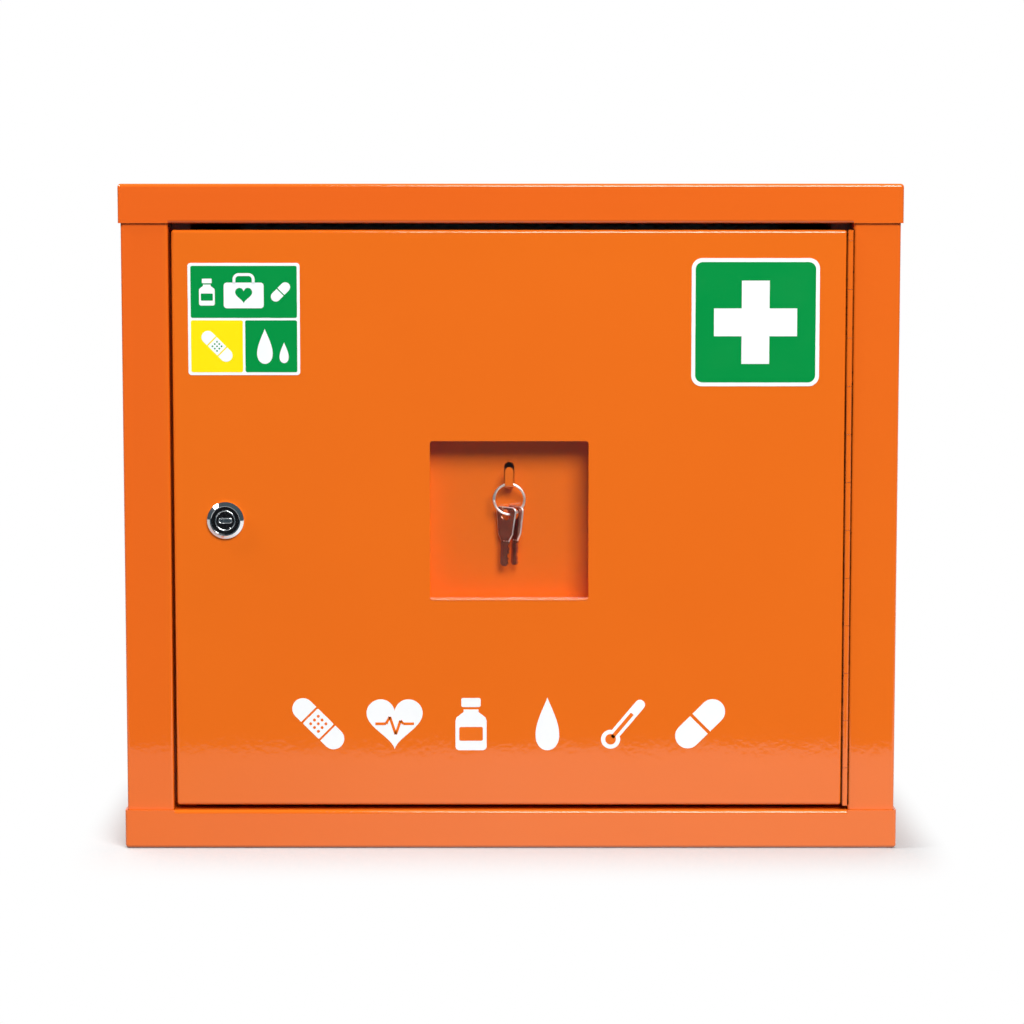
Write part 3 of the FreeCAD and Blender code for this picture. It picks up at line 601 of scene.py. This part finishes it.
def powder_coat():
    """Glossy orange powder coat with orange peel, slow clouds, painted shade that makes the frame redder towards its
    upper left, painted shade mottled like dirt in the seams beside the hinge and a light handling haze."""
    found = bpy.data.materials.get("orange_powder_coat")
    if found:
        return found
    look = bpy.context.scene.cabinet_finishes
    material, tree, place = new_material("orange_powder_coat")
    peel = effect(tree, orange_peel, place, 1 / look.peel_size, peel_waves)
    haze = effect(tree, handling_haze, place, 14.0, 260.0)
    tint = mixed(tree, peel["Clouds"], look.paint_deep, look.paint)
    # Painted shade on the frame, stronger towards its upper left.
    tint = mixed(tree, frame_blush(tree, place), tint, look.paint_frame)
    # Painted shade in the hinge seams, mottled by the haze like dirt.
    shade_and_dirt = maths(tree, "MULTIPLY", hinge_seams(tree, place), hazed(tree, haze, 0.55, 1.0))
    tint = mixed(tree, shade_and_dirt, tint, look.grime)
    gloss = hazed(tree, haze, look.paint_gloss - 0.015, look.paint_gloss + 0.03)
    inputs = {"IOR": 1.62, "Base Color": tint, "Roughness": gloss}
    show(tree, principled(tree, inputs, peel["Height"], look.peel_depth))
    return material


def coated(name, plain, haze_scales, tints, gloss, depth=0.0, peel_scales=None, mask="Mask"):
    """A finish with two tints and two roughnesses mixed by the handling haze. Where a depth in metres
    is given, the peel or else the haze's scratches stand out by it."""
    found = bpy.data.materials.get(name)
    if found:
        return found
    material, tree, place = new_material(name)
    haze = effect(tree, handling_haze, place, *haze_scales)
    inputs = {**plain, "Base Color": mixed(tree, haze[mask], *tints), "Roughness": hazed(tree, haze, *gloss)}
    height = None
    if depth:
        height = effect(tree, orange_peel, place, *peel_scales)["Height"] if peel_scales else haze["Scratch"]
    show(tree, principled(tree, inputs, height, depth))
    return material


def vinyl(name, tint):
    """Printed or cut film: an even colour with a little grain, and the paint's peel showing through softly."""
    look = bpy.context.scene.cabinet_finishes
    tints = shade(tint, 0.97), shade(tint, 1.02)
    peel_scales = 1 / look.peel_size, peel_waves
    return coated(name, {"IOR": 1.48}, (30.0, 420.0), tints, (0.12, 0.24), look.peel_depth * 0.6, peel_scales)


def plate(name):
    """Plated metal: fine scratches and patches that change its roughness, colour and surface."""
    field, gloss, scratch_scale, depth = plates[name]
    tint = getattr(bpy.context.scene.cabinet_finishes, field)
    return coated(
        name, {"Metallic": 1.0}, (180.0, scratch_scale), (shade(tint, 1.03), shade(tint, 0.9)), gloss, depth
    )


def black_lacquer():
    """Glossy black lacquer of the lock's face, paler in its scratches."""
    tints = bpy.context.scene.cabinet_finishes.lock_black, (0.02, 0.021, 0.023, 1)
    return coated("lock_black_lacquer", {"IOR": 1.46}, (220.0, 1500.0), tints, (0.14, 0.3), mask="Scratch")


def rubber():
    """Matt black rubber with a fine moulded grain."""
    tint = bpy.context.scene.cabinet_finishes.rubber
    grain_depth, grain_scales = 0.03 * mm, (2400.0, 0.4)
    return coated(
        "black_rubber_moulded", {"IOR": 1.5}, (120.0, 900.0), (tint, shade(tint, 2.0)), (0.62, 0.85), grain_depth,
        grain_scales,
    )


def clear_pane():
    """Clear acrylic that lets the lamps through to the niche, with a trace of haze."""
    material, tree, place = new_material("clear_acrylic")
    haze = effect(tree, handling_haze, place, 40.0, 700.0)
    glass = {"Transmission Weight": 1.0, "IOR": 1.49, "Base Color": (0.985, 0.99, 0.99, 1)}
    surface = principled(tree, {**glass, "Roughness": hazed(tree, haze, 0.0, 0.03)})
    clear = add(tree, "BsdfTransparent", {"Color": (0.99, 0.99, 0.99, 1)}).outputs["BSDF"]
    path = add(tree, "LightPath").outputs
    for ray in ("Is Shadow Ray", "Is Diffuse Ray"):
        surface = chosen(tree, path[ray], surface, clear)
    show(tree, surface)
    return material


def dress(names, material):
    """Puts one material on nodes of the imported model."""
    for name in names:
        mesh = nodes[name].data
        mesh.materials.clear()
        mesh.materials.append(material)


# Pieces


class CABINET_OT_paint(bpy.types.Operator):
    """Paint every folded sheet of the case and the door"""

    bl_idname = "cabinet.paint"
    bl_label = "Painted sheets"

    def execute(self, context):
        dress(painted_nodes, powder_coat())
        return {"FINISHED"}


class CABINET_OT_window_edge(bpy.types.Operator):
    """Round the window's cut edge with a bead of paint"""

    bl_idname = "cabinet.window_edge"
    bl_label = "Window edge"

    def execute(self, context):
        """A round bead carried round the window: the window's outline moved out by r (2/3 + cos u), at the
        depth r (c + sin u) behind the door's face. With c = 1 the bead is flush; along the lower edge, where
        the paint has run, c is 2/3 and the bead stands proud."""
        look = context.scene.cabinet_finishes
        middle = flat_middle(door_low, door_high)
        u = turn_steps(24)
        out = look.paint_bead * (2 / 3 + np.cos(u))
        sizes = zip(look.window + 2 * out, look.window_corner + out)
        flat = middle + np.stack([rounded(side, side, corner) for side, corner in sizes])
        above = flat[..., 1] - middle[1] + look.window / 2
        flush = 1 - np.clip(1 - above / look.window_corner, 0, 1) / 3
        rows = upright(flat, door_face + look.paint_bead * (flush + np.sin(u)[:, None]))
        make_piece("window_edge", [wound(rows)], powder_coat(), "door")
        return {"FINISHED"}


class CABINET_OT_fittings(bpy.types.Operator):
    """Finish the screws, studs, nuts, cam, buffers and gasket"""

    bl_idname = "cabinet.fittings"
    bl_label = "Fittings"

    def execute(self, context):
        dress(zinc_nodes, plate("bright_zinc"))
        dress(rubber_nodes, rubber())
        return {"FINISHED"}


class CABINET_OT_pane(bpy.types.Operator):
    """Finish the clear pane of the key niche"""

    bl_idname = "cabinet.pane"
    bl_label = "Break pane"

    def execute(self, context):
        dress(["break_pane"], clear_pane())
        return {"FINISHED"}


def on_lock(radius, y, angle):
    """Points about the lock's axis: x = ax + r cos a, z = az + r sin a."""
    return upright(lock_axis + polar(radius, angle), y)


class CABINET_OT_lock_housing(bpy.types.Operator):
    """Turn the lock's bezel and cut the thread of its flatted barrel"""

    bl_idname = "cabinet.lock_housing"
    bl_label = "Lock housing"

    def execute(self, context):
        """Radius and depth along the turned profile, times the angle round the axis. On the barrel the radius
        is r - d tri(y / pitch - a / turn), cut by the flats at half / |cos a|."""
        lock = context.scene.cabinet_lock
        soft, plug_gap, bore_depth, thread_depth = 0.12 * mm, 0.08 * mm, 12 * mm, 0.45 * mm
        outer = (lock_high.x - lock_low.x) / 2
        face = lock_low.y
        floor, foot = face + lock.recess, door_face - lock.foot
        bore = (plug_high.x - plug_low.x) / 2 + plug_gap
        land_outer = outer - lock.slope
        land_inner = land_outer - lock.land
        front = np.array(
            [
                (bore, face + bore_depth),
                (bore, floor),
                (land_inner - 0.4 * mm, floor),
                (land_inner - 0.5 * soft, face + soft),
                (land_inner + soft, face),
                (land_outer - 2 * soft, face),
                (land_outer, face + 0.5 * soft),
                (land_outer + 2 * soft, face + 2.4 * soft),
                (outer - 3 * soft, foot - 2.6 * soft),
                (outer - soft, foot - 0.8 * soft),
                (outer, foot + soft),
                (outer, door_face),
                (lock.barrel / 2, door_face),
            ]
        )
        angle = turn_steps(128)[None]
        y = np.linspace(door_face, lock_high.y, 150)[:, None]
        turns = y / lock.thread - angle / full_turn
        tooth = np.abs(2 * (turns - np.floor(turns)) - 1) * thread_depth
        flats = lock.flats / 2 / np.maximum(np.abs(np.cos(angle)), 1e-6)
        barrel = np.minimum(lock.barrel / 2 - tooth, flats)
        profile = ((front[:, :1], front[:, 1:]), (barrel, y), (bore, lock_high.y))
        rows = np.concatenate([on_lock(radius, depth, angle) for radius, depth in profile])
        housing = make_piece("lock_housing", [wound(rows)], plate("lock_chrome_plate"), "door", 25)
        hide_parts("lock_body")
        dress(["lock_trim"], black_lacquer())
        return {"FINISHED"}


def keyway_loop(lock, grow, angle):
    """Loop of the keyway made larger all round, a slot with round ends: the radius at angle a is where a ray
    meets the slot."""
    c, s = np.abs(np.cos(angle)), np.abs(np.sin(angle))
    half_width = lock.keyway_width / 2 + grow
    straight = (lock.keyway - lock.keyway_width) / 2
    side = half_width / np.maximum(s, 1e-9)
    round_end = straight * c + np.sqrt(np.maximum(half_width**2 - (straight * s) ** 2, 0))
    return np.where(side * c <= straight, side, round_end)


class CABINET_OT_lock_core(bpy.types.Operator):
    """Turn the lock's plug with its bright rim, dark dish and keyway"""

    bl_idname = "cabinet.lock_core"
    bl_label = "Lock core"

    def execute(self, context):
        """Loops about the lock's axis, from the keyway outwards and back along the plug to its square tail:
        each loop is a radius by angle, at one depth behind the plug's face. Rim and keyway end in half-round
        beads, whose width goes with (1 - cos t) / 2 and whose depth with 1 - sin t."""
        lock = context.scene.cabinet_lock
        lip, half_tail, rim_wall = 0.7 * mm, 3.5 * mm, 0.5 * mm
        face, outer = plug_low.y, (plug_high.x - plug_low.x) / 2
        inner = outer - lock.plug_rim
        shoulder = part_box("lock_cam")[0].y - face
        angle = turn_steps(144)
        square = half_tail / np.maximum(np.abs(np.cos(angle)), np.abs(np.sin(angle)))
        tail = np.minimum(square, half_tail * 1.36)
        bead = np.linspace(0, math.pi, 9)
        across, sunk = (1 - np.cos(bead)) / 2, 1 - np.sin(bead)
        lips = [keyway_loop(lock, grow, angle) for grow in lip * across]
        outside, inside = keyway_loop(lock, lip, angle), keyway_loop(lock, 0.8 * lip, angle)
        rim = [(inner - rim_wall, 10 * mm), (inner - rim_wall, 1.2 * mm)]
        rim += zip(inner + lock.plug_rim * across, 0.3 * mm * sunk)
        rim += [(outer, shoulder), (tail, shoulder), (tail, plug_high.y - face)]
        keyway = [(lips[0], 9 * mm), *zip(lips, 0.12 * mm + 0.34 * mm * sunk), (outside, 1.2 * mm)]
        dish = [
            (inside, 1.4 * mm),
            (inside, 0.55 * mm),
            ((outside + inner) / 2, 0.38 * mm),
            (inner - 0.3 * mm, 0.34 * mm),
            (inner + 0.05 * mm, 0.42 * mm),
            (inner + 0.05 * mm, 1.4 * mm),
        ]
        rim, keyway, dish = (
            np.stack([on_lock(radius, face + depth, angle) for radius, depth in loops])
            for loops in (rim, keyway, dish)
        )
        shells = [capped(rim), wound(keyway)]
        core = make_piece("lock_core_plug", shells, plate("lock_chrome_plate"), "lock_core", 30)
        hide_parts("lock_plug")
        make_piece("lock_core_dish", [wound(dish)], black_lacquer(), "lock_core", 30)
        return {"FINISHED"}


class CABINET_OT_key_ring(bpy.types.Operator):
    """Wind the split ring that hangs on the niche's hook"""

    bl_idname = "cabinet.key_ring"
    bl_label = "Key ring"

    def execute(self, context):
        """A half-round wire carried nearly twice round a circle: P = m + (r + p) (cos a, sin a) in the plane
        of the ring and q along its axis. The section (p, q) lies in front on the first turn, behind on the
        second, and passes over in a short joggle between them."""
        keys = context.scene.cabinet_keys
        wire_start, wire_end, joggle_start, joggle_span, ring_turn = 28, 692, 334, 52, 158  # degrees
        taper_span, taper_end = 0.12, 0.72
        turn = np.radians(np.linspace(wire_start, wire_end, 332))[:, None]
        over = np.clip((np.degrees(turn) - joggle_start) / joggle_span, 0, 1)
        over = over * over * (3 - 2 * over)
        v = turn_steps(24)
        slit = keys.ring_slit / 2
        bulge = ring_wire / 2 - slit
        front = -(slit + bulge * np.maximum(np.sin(v), 0))
        behind = slit + bulge * np.maximum(-np.sin(v), 0)
        end = np.minimum(np.abs(turn - turn[0]), np.abs(turn - turn[-1])) / taper_span
        taper = taper_end + (1 - taper_end) * np.sqrt(np.clip(end, 0, 1))
        p = ring_wire / 2 * np.cos(v) * taper
        q = (front * (1 - over) + behind * over) * taper
        flat = polar(ring_radius + p, turn + math.radians(ring_turn)) + [ring_middle.x, ring_middle.z]
        shell = capped(upright(flat, ring_middle.y + q))
        ring = make_piece("split_ring", [shell], plate("ring_nickel_plate"), "key_ring", 50)
        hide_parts("key_ring")
        return {"FINISHED"}


# Heights on a key, from its hole's middle, and the cuts of its blade as places below the shoulder and depths
key_head, key_foot, key_neck = 5.2 * mm, -12.6 * mm, -17.2 * mm
key_cuts = ((2.6 * mm, 1.16 * mm), (5.8 * mm, 0.58 * mm), (9.0 * mm, 1.45 * mm), (12.2 * mm, 0.87 * mm))

# How the keys hang: turn about the plumb line, place along the ring and lean, in degrees
key_hangs = {"front_key": (34, -11, 2.6), "rear_key": (50, 25, 2.0)}
key_drop = 0.4 * mm  # of the hole's middle below the ring's wire


def key_shells(keys):
    """Bow, blade and rim of one key, flat in x and z with its hole's middle at the origin and its faces at -y
    and +y. The bow is loops from the hole to the rim, P = r(a, s) (cos a, sin a), with a broken edge at the
    hole. The rim is a half-round edge h (sin t, -cos t) along the outline. The blade is a grooved section
    carried down the blade, with its edge drawn in at the cuts."""
    half, hole = keys.sheet / 2, keys.hole / 2
    edge, round_corner, steps_between = 0.16 * mm, 3.0 * mm, 12
    corner = arc(round_corner, 0, 90, 9) + [keys.bow / 2 - round_corner, key_head - round_corner]
    side = np.concatenate([[(keys.blade / 2, key_neck), (keys.bow_foot / 2, key_foot)], corner])
    outline = np.concatenate([side, side[::-1] * [-1, 1], side[:1]])
    steps = np.arange(len(outline)) * steps_between
    dense = np.column_stack([np.interp(np.arange(steps[-1]), steps, line) for line in outline.T])
    a = np.unwrap(np.arctan2(dense[:, 1], dense[:, 0]))
    reach = np.linalg.norm(dense, axis=1)
    t = np.linspace(0, math.pi, 11)[:, None]
    nose = reach + half * (np.sin(t) - 1)
    flat = hole + edge + np.array([[0], [0.5], [1]]) * (nose[0] - hole - edge)
    face = np.concatenate([np.full((1, len(reach)), hole), flat])
    depth = np.array([[edge], [0], [0], [0]]) - half
    bow = upright(polar(np.concatenate([face, face[::-1]]), a), np.concatenate([depth, -depth[::-1]]))
    rim = upright(polar(nose, a), -half * np.cos(t))

    overlap, cut_land, tip_slope = 1.5 * mm, 0.5 * mm, 1.7 * mm
    broad_groove, slim_groove = 0.42 * mm, 0.26 * mm
    key_end = key_neck - keys.blade_length
    z = np.linspace(key_foot - overlap, key_end, 120)[:, None]
    cut = np.zeros_like(z)
    for place, deep in key_cuts:
        cut = np.maximum(cut, np.clip(deep + cut_land - np.abs(z - (key_neck - place)), 0, deep))
    tip = np.clip(key_end + tip_slope - z, 0, None)
    u = np.array([0, 0.03, 0.3, 0.34, 0.46, 0.5, 0.66, 0.7, 0.8, 0.84, 0.97, 1])
    sunk = np.array([edge, 0, 0, broad_groove, broad_groove, 0, 0, slim_groove, slim_groove, 0, 0, edge]) - half
    x = np.clip((u - 0.5) * keys.blade, tip - keys.blade / 2, keys.blade / 2 - np.maximum(cut, tip))
    across = np.concatenate([x, x[:, ::-1]], axis=1)
    down = np.broadcast_to(z, across.shape)
    blade = upright(np.stack([across, down], axis=-1), np.concatenate([sunk, -sunk[::-1]]))
    return [wound(bow), capped(blade)], [wound(rim)]


def hung(points, turn, place, lean):
    """Points of a key that leans about Y, turns about Z and hangs at its place on the ring."""
    points = points.copy()
    points[:, ::2] = turned_by(points[:, ::2], -lean)
    points[:, :2] = turned_by(points[:, :2], -turn)
    x, z = turned_by((0, -ring_radius), place)
    return points + np.array(ring_middle) + [x, 0, z - key_drop]


class CABINET_OT_keys(bpy.types.Operator):
    """Cut the two keys that hang on the ring"""

    bl_idname = "cabinet.keys"
    bl_label = "Keys"

    def execute(self, context):
        for name, hang in key_hangs.items():
            cut, rim = (
                [(hung(points, *hang), faces) for points, faces in shells]
                for shells in key_shells(context.scene.cabinet_keys)
            )
            key = make_piece(name + "_cut", cut, plate("key_nickel_plate"), name, 25)
            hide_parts(name)
            # Painted highlight: the rim takes the ring's brighter plate, lighter than the key's face.
            make_piece(name + "_rim", rim, plate("ring_nickel_plate"), name)
        return {"FINISHED"}


# Signs


class CABINET_OT_first_aid_sign(bpy.types.Operator):
    """Print the first aid sign: a white cross on a green field with a white border"""

    bl_idname = "cabinet.first_aid_sign"
    bl_label = "First aid sign"

    def execute(self, context):
        """The cross is three corners of one arm, turned to the four sides."""
        signs = context.scene.cabinet_signs
        white = vinyl("white_film", signs.white)
        dress(["first_aid_sign"], white)
        at = flat_middle(sign_low, sign_high)
        side = sign_high.x - sign_low.x - 2 * signs.border
        field = film(rounded(side, side, signs.field_corner), at, sign_low.y)
        make_piece("first_aid_field", [field], vinyl("green_film", signs.green), "door")
        a, b = signs.cross_arm / 2, signs.cross_span / 2
        corners = np.concatenate([turned_by([(b, -a), (b, a), (a, a)], turn) for turn in (0, 90, 180, 270)])
        cross = film(corners, at, sign_low.y - signs.film)
        make_piece("first_aid_cross", [cross], white, "door")
        return {"FINISHED"}


class CABINET_OT_contents_sign(bpy.types.Operator):
    """Print the contents sign: a wide panel with a case over two panels with a plaster and a drop"""

    bl_idname = "cabinet.contents_sign"
    bl_label = "Contents sign"

    def execute(self, context):
        signs = context.scene.cabinet_signs
        white, green = vinyl("white_film", signs.white), vinyl("green_film", signs.green)
        yellow = vinyl("yellow_film", signs.yellow)
        dress(["contents_sign"], white)
        face, lift, over = (list_low.y - layer * signs.film for layer in range(3))
        inside = list_high.x - list_low.x - 2 * signs.margin
        half = (inside - signs.panel_gap) / 2
        step = (half + signs.panel_gap) / 2
        middle = flat_middle(list_low, list_high)
        top, left, right = middle + [0, step], middle + [-step, -step], middle + [step, -step]
        wide, small, warm = (
            film(rounded(width, half, 1.2 * mm), at, face)
            for width, at in ((inside, top), (half, right), (half, left))
        )
        make_piece("contents_green_panels", [wide, small], green, "door")
        make_piece("contents_yellow_panel", [warm], yellow, "door")
        bend, grip_foot = 3 * mm, 2.4 * mm
        case_at = top - [0, 2.2 * mm]
        body = film(rounded(25 * mm, 16 * mm, 2 * mm), case_at, lift)
        bends = [arc(bend, 180, 90, 9) - [bend, 0], arc(bend, 90, 0, 9) + [bend, 0]]
        grip = np.concatenate([[(-2 * bend, -grip_foot)], *bends, [(2 * bend, -grip_foot)]])
        shells = [body, band(grip, 1.8 * mm, case_at + [0, 10 * mm], lift)]
        marks = [film(heart() * 10 * mm, case_at, over)]
        for kind, size, at in (
            ("bottle", 17 * mm, top - [23 * mm, 0]),
            ("capsule", 13 * mm, top + [23 * mm, 0]),
            ("plaster", 20 * mm, left),
            ("drop", 22 * mm, right - [4 * mm, 0]),
            ("drop", 13 * mm, right + [8 * mm, -4 * mm]),
        ):
            shells += picture(kind, size, at, lift)
            marks += picture_marks(kind, size, at, over)
        make_piece("contents_pictures", shells, white, "door")
        make_piece("contents_marks", marks, green, "door")
        return {"FINISHED"}


class CABINET_OT_door_pictures(bpy.types.Operator):
    """Cut the row of white pictures on the door below the niche"""

    bl_idname = "cabinet.door_pictures"
    bl_label = "Door pictures"

    def execute(self, context):
        signs = context.scene.cabinet_signs
        kinds = ("plaster", "heart", "bottle", "drop", "thermometer", "capsule")
        white = vinyl("white_film", signs.white)
        marked = vinyl("orange_film", context.scene.cabinet_finishes.paint)
        start = (door_low.x + door_high.x) / 2 - signs.picture_pitch * (len(kinds) - 1) / 2
        marks = []
        for i, kind in enumerate(kinds):
            at = (start + i * signs.picture_pitch, signs.picture_middle)
            shells = picture(kind, signs.picture_height, at, door_face)
            make_piece("door_picture_" + kind, shells, white, "door")
            marks += picture_marks(kind, signs.picture_height, at, door_face - signs.film)
        make_piece("door_picture_marks", marks, marked, "door")
        return {"FINISHED"}


# Stage

lamp_target = Vector((0, 0, 0.2))
key_place, key_size = (1.12, -3.22, 2.86), (2.8, 1.96)
side_place, side_size = (-1.6, -0.3, 1.85), (0.6, 0.6)
sky_way, sky_angle = Vector((0.1, -0.14, -1)), math.radians(30)
camera_aside, sensor_width = 0.82 * mm, 36.0
front_share = 0.0084  # of the depth, where the camera's distance starts
floor_half, floor_back, floor_drop, floor_steps = 6, 9, 0.0002, 8


def lay_floor(stage):
    """A flat pale sheet, P = (x, y, 0) over a grid, that ends a little in front of the cabinet."""
    count = floor_steps + 1
    front = door_face - stage.table_front
    x, y = np.meshgrid(np.linspace(-floor_half, floor_half, count), np.linspace(front, floor_back, count))
    points = np.stack([x, y, np.full_like(x, -floor_drop)], axis=-1).reshape(-1, 3)
    first = (np.arange(floor_steps)[:, None] * count + np.arange(floor_steps)).ravel()
    faces = np.stack([first, first + 1, first + count + 1, first + count], axis=-1)
    mesh = bpy.data.meshes.new("pale_floor")
    mesh.from_pydata(points.tolist(), [], faces.tolist())
    mesh.materials.append(floor_material(stage))
    floor = placed("pale_floor", mesh)


def floor_material(stage):
    """A pale matt floor that keeps the cabinet's shadow near its footprint, where painted shade also makes the lit
    floor darker than the plain white that it fades to away from it, sooner at the sides. It mirrors as white, a
    painted reflection a little weaker at the left, and throws only a little light back up."""
    material, tree, place = new_material("pale_floor")
    path = add(tree, "LightPath").outputs
    past = past_box(tree, place, (cad_high.x, cad_high.y, 0))
    far = vectors(tree, "LENGTH", vectors(tree, "MULTIPLY", past, (3, 1, 0)))
    # Painted shade: near the footprint the floor is lit at its darker pale colour, beyond it plain white.
    fade = spread(tree, far, 0, 0.11, interpolation_type="SMOOTHSTEP")
    seen = maths(tree, "MULTIPLY", fade, path["Is Camera Ray"])
    # Painted reflection: the floor glows in reflections, a little weaker at the left.
    weaker = spread(tree, parts(tree, place)["X"], -0.25, 0, -0.36, 0.05)
    glow = maths(tree, "MULTIPLY_ADD", path["Is Glossy Ray"], weaker, 1.0)
    white = add(tree, "Emission", {"Color": (1, 1, 1, 1), "Strength": glow}).outputs["Emission"]
    lit = principled(tree, {"Roughness": 0.9, "Base Color": stage.floor})
    dim = add(tree, "BsdfDiffuse", {"Color": (0.2, 0.2, 0.2, 1)}).outputs["BSDF"]
    thrown = chosen(tree, path["Is Diffuse Ray"], lit, dim)
    show(tree, chosen(tree, maths(tree, "MAXIMUM", seen, path["Is Glossy Ray"]), thrown, white))
    return material


def hang_lamp(name, place, size, power):
    """A soft rectangular lamp that faces the cabinet."""
    lamp = bpy.data.lights.new(name, "AREA")
    lamp.shape, lamp.size, lamp.size_y, lamp.energy = "RECTANGLE", *size, power
    holder = placed(name, lamp)
    holder.location = place
    holder.rotation_euler = (lamp_target - Vector(place)).to_track_quat("-Z", "Y").to_euler()
    holder.visible_camera = False


def open_sky(strength):
    """Soft light from above and a little behind, for the shadow at the cabinet's foot."""
    sky = bpy.data.lights.new("sky_lamp", "SUN")
    sky.energy, sky.angle = strength, sky_angle
    holder = placed("sky_lamp", sky)
    holder.rotation_euler = sky_way.to_track_quat("-Z", "Y").to_euler()
    holder.visible_glossy = False


def set_world(scene):
    """White for the camera; for light and reflections, bright behind the cabinet and dark in front of it,
    as in a studio with a dark room behind the camera."""
    scene.world = bpy.data.worlds.new("studio")
    tree = emptied(scene.world)
    behind = spread(tree, parts(tree, add(tree, "TexCoord").outputs["Generated"])["Y"], 0.3, 0.85)
    tint = mixed(tree, behind, (0.06, 0.085, 0.1, 1), (0.7, 0.7, 0.7, 1))
    room, white = (
        add(tree, "Background", {"Color": value, "Strength": 1.0}).outputs["Background"]
        for value in (tint, (1, 1, 1, 1))
    )
    seen = add(tree, "LightPath").outputs["Is Camera Ray"]
    show(tree, chosen(tree, seen, room, white), "World")


class CABINET_OT_stage(bpy.types.Operator):
    """Set up the pale floor, the lamps, the white surroundings and the camera"""

    bl_idname = "cabinet.stage"
    bl_label = "Stage"

    def execute(self, context):
        scene, stage = context.scene, context.scene.cabinet_stage
        lay_floor(stage)
        hang_lamp("key_lamp", key_place, key_size, stage.key_power)
        hang_lamp("side_lamp", side_place, side_size, stage.side_power)
        open_sky(stage.sky)
        set_world(scene)
        camera = bpy.data.cameras.new("front_camera")
        camera.lens, camera.sensor_width = stage.lens, sensor_width
        eye = placed("front_camera", camera)
        front = cad_low.y + (cad_high.y - cad_low.y) * front_share
        eye.location = (camera_aside, front - stage.distance, stage.eye)
        eye.rotation_euler = (math.pi / 2 - stage.tilt, 0, 0)
        scene.camera = eye
        scene.view_settings.view_transform = "Standard"
        return {"FINISHED"}


# Add-on


class CABINET_PT_panel(bpy.types.Panel):
    """The cabinet's pieces and settings"""

    bl_idname = "CABINET_PT_panel"
    bl_label = "First aid cabinet"
    bl_space_type = "VIEW_3D"
    bl_region_type = "UI"
    bl_category = "Cabinet"

    def draw(self, context):
        for operator in operators:
            self.layout.operator(operator.bl_idname)
        for name, group in setting_groups.items():
            box = self.layout.box()
            for field in group.__annotations__:
                box.prop(getattr(context.scene, name), field)


operators = (
    CABINET_OT_stage,
    CABINET_OT_paint,
    CABINET_OT_window_edge,
    CABINET_OT_fittings,
    CABINET_OT_pane,
    CABINET_OT_lock_housing,
    CABINET_OT_lock_core,
    CABINET_OT_key_ring,
    CABINET_OT_keys,
    CABINET_OT_first_aid_sign,
    CABINET_OT_contents_sign,
    CABINET_OT_door_pictures,
)


def register():
    for name, group in setting_groups.items():
        bpy.utils.register_class(group)
        setattr(bpy.types.Scene, name, bpy.props.PointerProperty(type=group))
    for made in (*operators, CABINET_PT_panel):
        bpy.utils.register_class(made)


def unregister():
    for made in reversed((*operators, CABINET_PT_panel)):
        bpy.utils.unregister_class(made)
    for name, group in setting_groups.items():
        delattr(bpy.types.Scene, name)
        bpy.utils.unregister_class(group)


def main():
    """Registers the add-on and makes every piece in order."""
    register()
    for operator in operators:
        group, name = operator.bl_idname.split(".")
        getattr(getattr(bpy.ops, group), name)()


if __name__ == "__main__":
    main()
